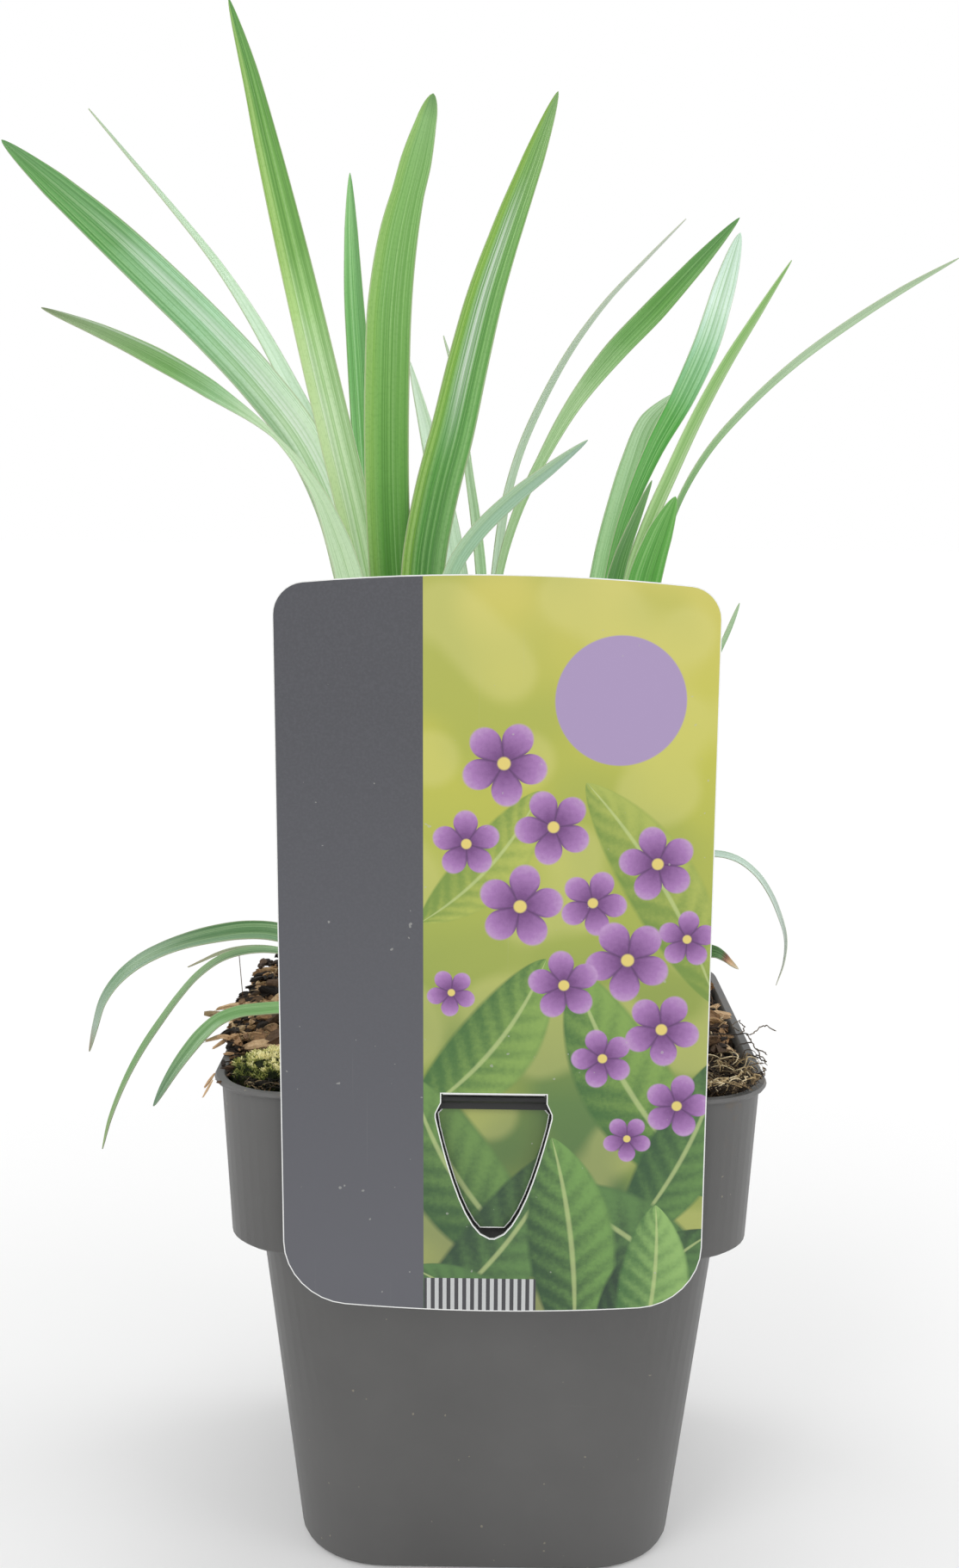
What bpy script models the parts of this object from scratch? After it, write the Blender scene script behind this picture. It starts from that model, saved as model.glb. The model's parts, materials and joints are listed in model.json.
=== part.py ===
"""Potted lily turf: a square nursery pot, its hang label, the potting mix, three crowns and the leaves.

Lengths are written in millimetres and turned into metres by MM. The pot stands on Z = 0 with its
centre on the Z axis. The front, with the label, faces -Y.
"""
import math

import bmesh
import bpy
from mathutils import Vector

MM = 0.001

# Pot
POT_HEIGHT = 127.0
LIP_HALF = 65.0
LIP_THICK = 1.4
COLLAR_TOP_HALF = 63.4
COLLAR_FOOT_HALF = 61.4
COLLAR_FOOT_Z = 87.0
BODY_TOP_HALF = 55.0
BASE_HALF = 46.8
CORNER_RADIUS = 17.0
WALL = 1.3
FLOOR = 3.0
POCKET_X = 0.8
POCKET_HALF = 15.5
POCKET_BACK = -59.6
BAR_BACK = -62.4
BAR_DEPTH = 3.3

# Label
LABEL_LEFT = -47.5
LABEL_RIGHT = 48.5
LABEL_TOP = 242.2
LABEL_FOOT = 77.8
LABEL_BOW = 2.6
LABEL_TILT = 0.006
LABEL_THICK = 0.5
LABEL_LEAN = 0.052
LABEL_Y_AT_RIM = -65.75
TONGUE_HALF = 13.1
TONGUE_TIP = 93.2
TONGUE_Y = -61.6

# Potting mix
SOIL_EDGE_Z = 121.5
SOIL_MOUND = 4.0
SOIL_BACK_LIFT = 2.0
REST_GAP = 0.4

# Leaf section
LEAF_THICK = 0.8
LEAF_FOLD = 0.14
STATIONS = 15

COLOURS = {
    "pot_plastic": ((0.022, 0.023, 0.025), 0.55),
    "label_sheet": ((0.42, 0.50, 0.16), 0.35),
    "soil_mix": ((0.075, 0.045, 0.026), 0.95),
    "crown_sheath": ((0.30, 0.30, 0.14), 0.75),
    "moss_green": ((0.16, 0.20, 0.03), 0.95),
    "bark_brown": ((0.14, 0.075, 0.038), 0.9),
    "straw_tan": ((0.36, 0.24, 0.13), 0.9),
    "leaf_fresh": ((0.16, 0.36, 0.075), 0.42),
    "leaf_deep": ((0.075, 0.25, 0.06), 0.38),
    "leaf_pale": ((0.36, 0.52, 0.33), 0.5),
    "leaf_grey": ((0.22, 0.37, 0.20), 0.5),
}

# Each crown: name, centre x and y, half width, half depth, height above the mix
CROWNS = [
    ("crown_left", -19.0, -3.0, 10.2, 15.5, 6.0),
    ("crown_middle", 0.0, -4.0, 7.6, 13.5, 6.0),
    ("crown_right", 28.5, -4.0, 9.5, 16.5, 6.0),
]

# Way points are read off in millimetres from root to tip. Shape is the share of full width at the
# root, where along the leaf it is widest, and how blunt the tip is. Roll turns the blade about its
# own run at the root and at the tip. Facing is "front" for upright leaves, "up" for arching ones.
LEAVES = [
    ("leaf_broad_left", "leaf_deep", 10.6, (0.45, 0.7, 3.0), (12, 8), "front",
     [(-23, -1), (-28, 0, 190), (-38, 3, 246), (-45, 4, 268), (-60, 7, 289), (-96, 13, 324),
      (-127, 18, 350)]),
    ("leaf_low_left", "leaf_fresh", 6.2, (0.9, 0.6, 3.0), (0, 15), "front",
     [(-22, -10), (-27, -15, 189), (-37, -20, 247), (-48, -24, 270), (-65, -27, 284),
      (-87, -31, 296), (-105, -34, 303)]),
    ("leaf_tallest", "leaf_fresh", 8.6, (0.75, 0.55, 2.4), (0, 5), "front",
     [(-18, -5), (-23, -4, 189), (-33, -3, 245), (-44, -1, 291), (-56, 2, 340), (-63, 3, 368),
      (-67, 4, 381)]),
    ("leaf_thin_back_left", "leaf_pale", 7.0, (0.9, 0.35, 1.6), (0, 72), "front",
     [(-20, 3), (-30, 9, 203), (-46, 18, 274), (-57, 23, 295), (-73, 30, 320), (-110, 42, 363)]),
    ("leaf_slim_centre", "leaf_deep", 6.0, (0.85, 0.6, 3.0), (10, 10), "front",
     [(-13, 0), (-24, 4, 194), (-33, 12, 258), (-36, 17, 293), (-38, 20, 319), (-39, 24, 344)]),
    ("leaf_broad_centre", "leaf_fresh", 10.8, (0.8, 0.65, 3.4), (0, 0), "front",
     [(-12, -7), (-20, -9, 187), (-26, -12, 243), (-27, -15, 282), (-25, -19, 317),
      (-16, -24, 353)]),
    ("leaf_gloss_centre", "leaf_deep", 10.8, (0.82, 0.58, 2.9), (-8, 0), "front",
     [(-4, -10), (-14, -14, 187), (-18, -15, 243), (-10, -15, 282), (-3, -15, 311), (13, -14, 356)]),
    ("leaf_back_blade", "leaf_pale", 5.4, (0.9, 0.5, 2.2), (50, 50), "front",
     [(-2, 1), (-4, 9, 187), (-11, 20, 243), (-16, 26, 268), (-24, 34, 298)]),
    ("leaf_spike_back", "leaf_pale", 4.2, (0.9, 0.5, 2.2), (45, 50), "front",
     [(0, 4), (-1, 13, 186), (-4, 25, 242), (-8, 33, 271), (-11, 38, 291), (-15, 40, 305)]),
    ("leaf_pale_side", "leaf_pale", 5.2, (0.9, 0.66, 3.0), (20, 15), "front",
     [(-1, -13), (-13, -16, 190), (-11, -21, 243), (-2, -23, 256), (12, -25, 268), (21, -26, 275)]),
    ("leaf_thin_arch", "leaf_pale", 4.6, (0.9, 0.4, 1.8), (40, 55), "front",
     [(3, 3), (-1, 9, 187), (0, 19, 243), (4, 25, 268), (14, 31, 292), (26, 37, 311),
      (50, 46, 337)]),
    ("leaf_arch_right", "leaf_deep", 7.2, (0.6, 0.72, 2.6), (62, 5), "front",
     [(4, -4), (0, -2, 187), (1, 2, 244), (11, 4, 271), (23, 7, 291), (42, 9, 312),
      (60, 12, 332)]),
    ("leaf_silver_right", "leaf_grey", 7.0, (0.85, 0.72, 2.8), (8, 10), "front",
     [(24, -4), (23, -2, 187), (29, 2, 244), (37, 4, 269), (50, 6, 295), (57, 9, 317),
      (60, 10, 328)]),
    ("leaf_folded_right", "leaf_grey", 7.4, (0.8, 0.65, 4.0), (20, 15), "front",
     [(22, 1), (21, 6, 188), (28, 15, 242), (33, 19, 263), (40, 24, 283), (47, 27, 290)]),
    ("leaf_slim_right", "leaf_fresh", 4.4, (0.9, 0.6, 2.6), (15, 20), "front",
     [(27, -8), (28, -10, 187), (33, -14, 244), (39, -16, 261), (51, -18, 288), (68, -22, 317)]),
    ("leaf_long_arch", "leaf_grey", 3.6, (0.8, 0.75, 2.8), (40, 30), "front",
     [(31, 4), (34, 6, 191), (43, 8, 249), (49, 9, 267), (68, 11, 290), (94, 13, 310),
      (116, 14, 323)]),
    ("leaf_short_front", "leaf_fresh", 8.2, (0.75, 0.6, 3.2), (0, 10), "front",
     [(29, -14), (29, -22, 189), (35, -32, 244), (41, -36, 262)]),
    ("leaf_dark_edge", "leaf_deep", 5.2, (0.9, 0.55, 2.4), (5, 15), "front",
     [(24, -12), (23, -14, 187), (29, -17, 243), (37, -18, 266)]),
    ("leaf_behind_label", "leaf_grey", 4.4, (0.9, 0.55, 2.4), (25, 30), "front",
     [(34, -3), (40, -1, 169), (52, 1, 205), (58, 2, 223), (62, 2, 236)]),
    ("leaf_droop_upper", "leaf_grey", 8.0, (0.9, 0.5, 1.5), (10, 10), "up",
     [(-24, 9), (-57, 14, 146), (-77, 17, 144), (-96, 20, 136), (-106, 22, 125),
      (-111, 24, 109)]),
    ("leaf_dry_thread", "straw_tan", 2.4, (0.9, 0.5, 1.6), (10, 10), "up",
     [(-23, 6), (-45, 7, 139), (-59, 8, 143), (-70, 9, 142), (-81, 10, 137)]),
    ("leaf_droop_middle", "leaf_grey", 4.2, (0.9, 0.4, 2.0), (10, 10), "up",
     [(-25, 2), (-56, 2, 144), (-72, 2, 141), (-90, 2, 120), (-100, 2, 100), (-103, 2, 89)]),
    ("leaf_droop_front", "leaf_grey", 6.2, (0.8, 0.55, 2.8), (5, 5), "up",
     [(-22, -12), (-39, -17, 135), (-53, -21, 135), (-67, -24, 133), (-78, -28, 121),
      (-83, -30, 112)]),
    ("leaf_hook_right", "leaf_pale", 2.6, (0.9, 0.4, 1.6), (20, 20), "up",
     [(34, 8), (42, 10, 158), (59, 14, 169), (71, 16, 163), (80, 20, 143), (78, 22, 131)]),
    ("leaf_brown_tip", "leaf_grey", 4.6, (0.8, 0.6, 2.6), (20, 20), "up",
     [(35, 1), (47, 2, 142), (58, 3, 145), (65, 4, 140)]),
]

# Each loose chip: name, colour, start point, end point, width, thickness
CHIPS = [
    ("bark_sliver_left", "straw_tan", (-74, -7, 129.2), (-46, -3, 126.6), 3.4, 1.3),
    ("straw_sliver_right", "straw_tan", (46, -30, 125.4), (70, -22, 129.0), 1.8, 1.0),
]

# Each lump resting on the mix: name, colour, centre x and y, half width, half depth, height, turn
LUMPS = [
    ("moss_cushion", "moss_green", -46.5, -46.0, 9.5, 8.5, 7.5, 10),
    ("straw_mat", "straw_tan", 49.5, -48.5, 8.5, 6.0, 3.2, 20),
    ("bark_chip_front_left", "bark_brown", -44.0, -27.0, 7.0, 3.2, 3.2, 55),
    ("bark_chip_left", "bark_brown", -48.0, 16.0, 8.0, 3.6, 3.4, -35),
    ("bark_chip_back_left", "bark_brown", -47.0, 43.0, 7.0, 4.0, 4.0, 60),
    ("bark_chip_right", "bark_brown", 50.0, -8.0, 7.0, 3.2, 3.0, 70),
    ("bark_chip_back_right", "bark_brown", 46.0, 40.0, 7.5, 3.6, 3.4, -50),
    ("bark_chip_back", "bark_brown", 4.0, 44.0, 9.0, 4.0, 3.4, 15),
]


def material(name):
    mat = bpy.data.materials.get(name)
    if mat is None:
        colour, rough = COLOURS[name]
        mat = bpy.data.materials.new(name)
        mat.use_nodes = True
        bsdf = mat.node_tree.nodes["Principled BSDF"]
        bsdf.inputs["Base Color"].default_value = (*colour, 1.0)
        bsdf.inputs["Roughness"].default_value = rough
        bsdf.inputs["Metallic"].default_value = 0.0
    return mat


def new_object(name, verts, faces, slot, smooth=True):
    mesh = bpy.data.meshes.new(name)
    mesh.from_pydata([(x * MM, y * MM, z * MM) for x, y, z in verts], [], faces)
    bm = bmesh.new()
    bm.from_mesh(mesh)
    bmesh.ops.recalc_face_normals(bm, faces=bm.faces)
    bm.to_mesh(mesh)
    bm.free()
    for poly in mesh.polygons:
        poly.use_smooth = smooth
    mesh.materials.append(material(slot))
    obj = bpy.data.objects.new(name, mesh)
    bpy.context.collection.objects.link(obj)
    return obj


def rounded_square(half, radius, z, steps=10, side_steps=1):
    pts = []
    for k, (sx, sy) in enumerate(((1, 1), (-1, 1), (-1, -1), (1, -1))):
        for i in range(steps + 1):
            a = math.radians(90 * k + 90 * i / steps)
            pts.append((sx * (half - radius) + radius * math.cos(a),
                        sy * (half - radius) + radius * math.sin(a), z))
        # Straight side on to the next corner
        ex, ey = ((-1, 0), (0, -1), (1, 0), (0, 1))[k]
        x, y, _ = pts[-1]
        for i in range(1, side_steps):
            run = 2 * (half - radius) * i / side_steps
            pts.append((x + ex * run, y + ey * run, z))
    return pts


def loft(loops):
    n = len(loops[0])
    verts = [p for loop in loops for p in loop]
    faces = []
    for k in range(len(loops) - 1):
        for i in range(n):
            j = (i + 1) % n
            faces.append((k * n + i, k * n + j, (k + 1) * n + j, (k + 1) * n + i))
    faces.append(tuple(reversed(range(n))))
    faces.append(tuple(range((len(loops) - 1) * n, len(loops) * n)))
    return verts, faces


def box(name, x0, x1, y0, y1, z0, z1, slot="pot_plastic"):
    verts = [(x, y, z) for z in (z0, z1) for y in (y0, y1) for x in (x0, x1)]
    faces = [(0, 2, 3, 1), (4, 5, 7, 6), (0, 1, 5, 4), (2, 6, 7, 3), (0, 4, 6, 2), (1, 3, 7, 5)]
    return new_object(name, verts, faces, slot, smooth=False)


def disc(name, x, y, radius, z0, z1, slot="pot_plastic", steps=20):
    ring = [(x + radius * math.cos(2 * math.pi * i / steps),
             y + radius * math.sin(2 * math.pi * i / steps)) for i in range(steps)]
    verts, faces = loft([[(px, py, z) for px, py in ring] for z in (z0, z1)])
    return new_object(name, verts, faces, slot, smooth=False)


def combine(target, cutter, how):
    cutter.hide_render = True
    cutter.display_type = "WIRE"
    mod = target.modifiers.new(how, "BOOLEAN")
    mod.operation = how
    mod.solver = "EXACT"
    mod.object = cutter
    bpy.context.view_layer.objects.active = target
    for obj in bpy.context.selected_objects:
        obj.select_set(False)
    target.select_set(True)
    bpy.ops.object.modifier_apply(modifier=mod.name)
    bpy.data.objects.remove(cutter)


def wall_half(z):
    """Half width of the inside of the pot at height z."""
    if z > COLLAR_FOOT_Z + 1.4:
        t = (z - COLLAR_FOOT_Z) / (POT_HEIGHT - COLLAR_FOOT_Z)
        return COLLAR_FOOT_HALF - WALL + t * (COLLAR_TOP_HALF - COLLAR_FOOT_HALF)
    t = z / COLLAR_FOOT_Z
    return BASE_HALF - WALL + t * (BODY_TOP_HALF - BASE_HALF)


def soil_z(x, y):
    """Height of the potting mix: a low mound with soft lumps, higher at the back."""
    half = 60.0
    edge = max(abs(x), abs(y)) / half
    mound = SOIL_MOUND * max(0.0, 1.0 - edge ** 2)
    back = SOIL_BACK_LIFT * max(0.0, y / half) * max(0.0, 1.0 - edge ** 6)
    lumps = 0.5 * math.sin(x / 6.3 + 0.8) * math.sin(y / 7.1) + 0.35 * math.sin((x + y) / 4.4)
    return SOIL_EDGE_Z + mound + back + lumps * max(0.0, 1.0 - edge ** 8)


def build_pot():
    r = CORNER_RADIUS
    top = POT_HEIGHT
    loops = [
        rounded_square(BASE_HALF - 1.6, r + 4.0, 0.0),
        rounded_square(BASE_HALF - 0.6, r + 5.0, 0.4),
        rounded_square(BASE_HALF, r + 5.6, 1.6),
        rounded_square((BASE_HALF + BODY_TOP_HALF) / 2, r + 3.0, COLLAR_FOOT_Z / 2),
        rounded_square(BODY_TOP_HALF, r, COLLAR_FOOT_Z - 0.8),
        rounded_square(BODY_TOP_HALF + 0.9, r, COLLAR_FOOT_Z),
        rounded_square(COLLAR_FOOT_HALF - 0.9, r, COLLAR_FOOT_Z),
        rounded_square(COLLAR_FOOT_HALF, r, COLLAR_FOOT_Z + 0.9),
        rounded_square(COLLAR_TOP_HALF - 0.1, r, top - LIP_THICK - 0.5),
        rounded_square(COLLAR_TOP_HALF + 0.4, r + 0.4, top - LIP_THICK),
        rounded_square(LIP_HALF - 0.4, r + 1.2, top - LIP_THICK + 0.1),
        rounded_square(LIP_HALF, r + 1.5, top - LIP_THICK / 2),
        rounded_square(LIP_HALF - 0.4, r + 1.2, top),
        rounded_square(COLLAR_TOP_HALF - 0.6, r - 0.6, top),
        rounded_square(COLLAR_TOP_HALF - WALL, r - 1.3, top - 0.6),
        rounded_square(COLLAR_FOOT_HALF - WALL, r - 1.3, COLLAR_FOOT_Z + 1.6),
        rounded_square(BODY_TOP_HALF - WALL + 0.6, r - 1.3, COLLAR_FOOT_Z + 1.0),
        rounded_square(BODY_TOP_HALF - WALL, r - 1.3, COLLAR_FOOT_Z - 0.2),
        rounded_square((BASE_HALF + BODY_TOP_HALF) / 2 - WALL, r + 1.7, COLLAR_FOOT_Z / 2),
        rounded_square(BASE_HALF - WALL + 0.2, r + 4.4, FLOOR + 1.2),
        rounded_square(BASE_HALF - WALL - 1.0, r + 3.4, FLOOR),
    ]
    verts, faces = loft(loops)
    pot = new_object("pot", verts, faces, "pot_plastic")
    x0, x1 = POCKET_X - POCKET_HALF, POCKET_X + POCKET_HALF
    combine(pot, box("boss", x0 - 1.6, x1 + 1.6, -62.7, POCKET_BACK + 1.6,
                     COLLAR_FOOT_Z + 0.5, top - 0.3), "UNION")
    combine(pot, box("pocket", x0, x1, -75.0, POCKET_BACK, 90.5, top - BAR_DEPTH), "DIFFERENCE")
    combine(pot, box("slot", x0, x1, BAR_BACK, POCKET_BACK, 92.0, top + 5.0), "DIFFERENCE")
    for k in range(4):
        a = math.radians(90 * k)
        combine(pot, disc("drain", 29 * math.cos(a), 29 * math.sin(a), 4.5, -5, 10), "DIFFERENCE")
        a += math.radians(45)
        combine(pot, disc("drain", 42 * math.cos(a), 42 * math.sin(a), 5.0, -5, 10), "DIFFERENCE")
    for poly in pot.data.polygons:
        poly.use_smooth = True
    return pot


def label_y(z):
    return LABEL_Y_AT_RIM - LABEL_LEAN * (z - POT_HEIGHT)


def label_outline():
    cx = (LABEL_LEFT + LABEL_RIGHT) / 2
    half = (LABEL_RIGHT - LABEL_LEFT) / 2
    corners = [
        (LABEL_RIGHT, LABEL_TOP, 6.5, 0), (LABEL_LEFT, LABEL_TOP, 6.5, 1),
        (LABEL_LEFT, LABEL_FOOT, 14.0, 2), (LABEL_RIGHT, LABEL_FOOT, 14.0, 3),
    ]
    pts = []
    for x, z, r, k in corners:
        sx = 1 if x > cx else -1
        sz = 1 if z > 150 else -1
        for i in range(9):
            a = math.radians(90 * k + 90 * i / 8)
            pts.append((x - sx * r + r * math.cos(a), z - sz * r + r * math.sin(a)))
        # Extra points along the top and the foot so that they can bow outwards
        if k in (0, 2):
            for i in range(1, 12):
                pts.append((x - sx * (r + (2 * half - 2 * r) * i / 12), z))
    out = []
    for x, z in pts:
        bow = LABEL_BOW * max(0.0, 1.0 - ((x - cx) / half) ** 2)
        if z > LABEL_TOP - 10:
            z += bow * min(1.0, (z - LABEL_TOP + 10) / 6)
        elif z < LABEL_FOOT + 20:
            z -= bow * min(1.0, (LABEL_FOOT + 20 - z) / 12)
        out.append((x - LABEL_TILT * (z - 160.0), z))
    return out


def tongue_half(z, trim=0.0):
    """Half width of the tongue at height z, narrower by trim on each side."""
    if z > 123.4:
        return TONGUE_HALF - 1.2 - trim
    t = max(0.0, (z - TONGUE_TIP - trim) / (122.4 - TONGUE_TIP))
    return min(TONGUE_HALF - trim, TONGUE_HALF * t ** 0.5)


def build_label():
    outline = label_outline()
    half = LABEL_THICK / 2
    loops = [[(x, label_y(z) + s * half, z) for x, z in outline] for s in (-1, 1)]
    verts, faces = loft(loops)
    label = new_object("hang_label", verts, faces, "label_sheet", smooth=False)
    heights = [128.2, 126.0, 123.4, 122.4, 119, 115, 111, 107, 103, 99.5, 96.5, 94.4, TONGUE_TIP + 0.05]
    edge = [(POCKET_X + tongue_half(z), z) for z in heights]
    edge += [(POCKET_X - tongue_half(z), z) for z in reversed(heights)]
    loops = [[(x, label_y(z) + s, z) for x, z in edge] for s in (-3, 3)]
    verts, faces = loft(loops)
    combine(label, new_object("tongue_hole", verts, faces, "label_sheet", smooth=False), "DIFFERENCE")
    # The tongue is one strip: it starts in the sheet, goes back over the bar and hangs behind it
    t = LABEL_THICK
    hinge_y = label_y(128.4)
    path = [(hinge_y, 129.4, 0, t), (hinge_y, 128.6, 0, t), (hinge_y + 0.5, 128.0, 0, t),
            (TONGUE_Y - 0.9, 127.9, 0, t), (TONGUE_Y - 0.2, 127.4, 0, t)]
    path += [(TONGUE_Y, z, 0, t) for z in (126.0, 123.6, 122.2, 119, 115, 111, 107, 103, 99.5, 96.5, 94.9)]
    loops = []
    for k, (y, z, _, thick) in enumerate(path):
        a = path[max(0, k - 1)]
        b = path[min(len(path) - 1, k + 1)]
        run = Vector((b[0] - a[0], b[1] - a[1])).normalized()
        out = (-run[1] * thick / 2, run[0] * thick / 2)
        w = tongue_half(min(z, 127.0), 0.35)
        loops.append([(POCKET_X - w, y - out[0], z - out[1]), (POCKET_X + w, y - out[0], z - out[1]),
                      (POCKET_X + w, y + out[0], z + out[1]), (POCKET_X - w, y + out[0], z + out[1])])
    verts, faces = loft(loops)
    combine(label, new_object("tongue", verts, faces, "label_sheet", smooth=False), "UNION")
    return label


def build_soil():
    r = CORNER_RADIUS
    gap = 0.5
    loops = [
        rounded_square(wall_half(FLOOR) - gap - 1.6, r + 4.0, FLOOR + gap, 10, 9),
        rounded_square(wall_half(5.0) - gap, r + 5.0, 5.5, 10, 9),
        rounded_square(wall_half(COLLAR_FOOT_Z / 2) - gap, r + 2.4, COLLAR_FOOT_Z / 2, 10, 9),
        rounded_square(wall_half(COLLAR_FOOT_Z) - gap, r - 1.0, COLLAR_FOOT_Z - 0.6, 10, 9),
        rounded_square(wall_half(COLLAR_FOOT_Z) - gap, r - 1.8, COLLAR_FOOT_Z + 2.2, 10, 9),
        rounded_square(wall_half(COLLAR_FOOT_Z + 3) - gap, r - 1.8, COLLAR_FOOT_Z + 2.9, 10, 9),
    ]
    top_half = wall_half(SOIL_EDGE_Z) - gap
    rim = rounded_square(top_half, r - 1.8, SOIL_EDGE_Z, 10, 9)
    loops.append([(x, y, soil_z(x, y)) for x, y, _ in rim])
    for share in (0.95, 0.88, 0.8, 0.72, 0.64, 0.56, 0.48, 0.4, 0.32, 0.24, 0.16, 0.08):
        loops.append([(x * share, y * share, soil_z(x * share, y * share)) for x, y, _ in rim])
    verts, faces = loft(loops)
    soil = new_object("potting_mix", verts, faces, "soil_mix")
    x0, x1 = POCKET_X - POCKET_HALF - 2.2, POCKET_X + POCKET_HALF + 2.2
    combine(soil, box("pocket_room", x0, x1, -80, POCKET_BACK + 2.2, 80, 140), "DIFFERENCE")
    for poly in soil.data.polygons:
        poly.use_smooth = True
    return soil


def lump_height(x, y, cx, cy, rx, ry, height, turn, power):
    a = math.radians(turn)
    u = ((x - cx) * math.cos(a) + (y - cy) * math.sin(a)) / rx
    v = (-(x - cx) * math.sin(a) + (y - cy) * math.cos(a)) / ry
    return height * max(0.0, 1.0 - (u * u + v * v) ** power)


def build_lump(name, slot, cx, cy, rx, ry, height, turn=0.0, power=1.5, around=16, rough=0.0):
    """A closed mound whose underside follows the potting mix at a small gap."""
    a = math.radians(turn)
    shares = (1.0, 0.92, 0.72, 0.4)
    verts, faces = [], []

    def spot(share, i):
        b = 2 * math.pi * i / around
        wob = 1.0 + rough * math.sin(3 * b + cx) + rough * 0.6 * math.sin(5 * b + cy)
        u, v = rx * share * wob * math.cos(b), ry * share * wob * math.sin(b)
        return cx + u * math.cos(a) - v * math.sin(a), cy + u * math.sin(a) + v * math.cos(a)

    for share in shares:
        for i in range(around):
            x, y = spot(share, i)
            verts.append((x, y, soil_z(x, y) + REST_GAP + 0.3 + height * (1.0 - share ** (2 * power))))
    verts.append((cx, cy, soil_z(cx, cy) + REST_GAP + 0.3 + height))
    top = len(verts) - 1
    first = len(verts)
    for share in shares:
        for i in range(around):
            x, y = spot(share, i)
            verts.append((x, y, soil_z(x, y) + REST_GAP))
    verts.append((cx, cy, soil_z(cx, cy) + REST_GAP))
    low = len(verts) - 1
    for base, tip in ((0, top), (first, low)):
        for k in range(len(shares) - 1):
            for i in range(around):
                j = (i + 1) % around
                faces.append((base + k * around + i, base + k * around + j,
                              base + (k + 1) * around + j, base + (k + 1) * around + i))
        for i in range(around):
            j = (i + 1) % around
            k = base + (len(shares) - 1) * around
            faces.append((k + i, k + j, tip))
    for i in range(around):
        j = (i + 1) % around
        faces.append((i, j, first + j, first + i))
    return new_object(name, verts, faces, slot)


def build_chip(name, slot, start, end, width, thick):
    a, b = Vector(start), Vector(end)
    run = (b - a).normalized()
    side = run.cross(Vector((0, 0, 1))).normalized()
    up = side.cross(run)
    loops = []
    for t, w, h in ((0.0, 0.5, 0.6), (0.05, 0.9, 0.9), (0.5, 1.0, 1.0), (0.95, 0.8, 0.9), (1.0, 0.4, 0.6)):
        c = a.lerp(b, t)
        loops.append([tuple(c + side * s * width * w / 2 + up * q * thick * h / 2)
                      for s, q in ((-1, -0.7), (-0.6, -1), (0.6, -1), (1, -0.7),
                                   (1, 0.7), (0.6, 1), (-0.6, 1), (-1, 0.7))])
    verts, faces = loft(loops)
    return new_object(name, verts, faces, slot)


def crown_top(x, y):
    z = soil_z(x, y)
    for _, cx, cy, rx, ry, height in CROWNS:
        h = lump_height(x, y, cx, cy, rx, ry, height, 0.0, 4.0)
        if h > 0:
            z = max(z, soil_z(x, y) + REST_GAP + 0.3 + h)
    return z


def through(points, count):
    """Evenly spaced places on a smooth run through the way points (centripetal spline)."""
    pts = [Vector(p) for p in points]
    pts = [pts[0] * 2 - pts[1]] + pts + [pts[-1] * 2 - pts[-2]]
    fine = []
    for i in range(1, len(pts) - 2):
        p = pts[i - 1:i + 3]
        t = [0.0]
        for k in range(3):
            t.append(t[-1] + (p[k + 1] - p[k]).length ** 0.5)
        for k in range(24):
            s = t[1] + (t[2] - t[1]) * k / 24
            a = [((t[j + 1] - s) * p[j] + (s - t[j]) * p[j + 1]) / (t[j + 1] - t[j]) for j in range(3)]
            b = [((t[j + 2] - s) * a[j] + (s - t[j]) * a[j + 1]) / (t[j + 2] - t[j]) for j in range(2)]
            fine.append(((t[2] - s) * b[0] + (s - t[1]) * b[1]) / (t[2] - t[1]))
    fine.append(pts[-2])
    dist = [0.0]
    for i in range(1, len(fine)):
        dist.append(dist[-1] + (fine[i] - fine[i - 1]).length)
    out, k = [], 0
    for i in range(count):
        want = dist[-1] * i / (count - 1)
        while k < len(fine) - 2 and dist[k + 1] < want:
            k += 1
        span = dist[k + 1] - dist[k]
        out.append(fine[k].lerp(fine[k + 1], (want - dist[k]) / span if span else 0.0))
    return out


def blade_share(s, shape):
    root, peak, blunt = shape
    if s < peak:
        t = s / peak
        return root + (1.0 - root) * t * t * (3 - 2 * t)
    t = (s - peak) / (1.0 - peak)
    return (1.0 - t ** blunt) ** 0.68


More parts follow.
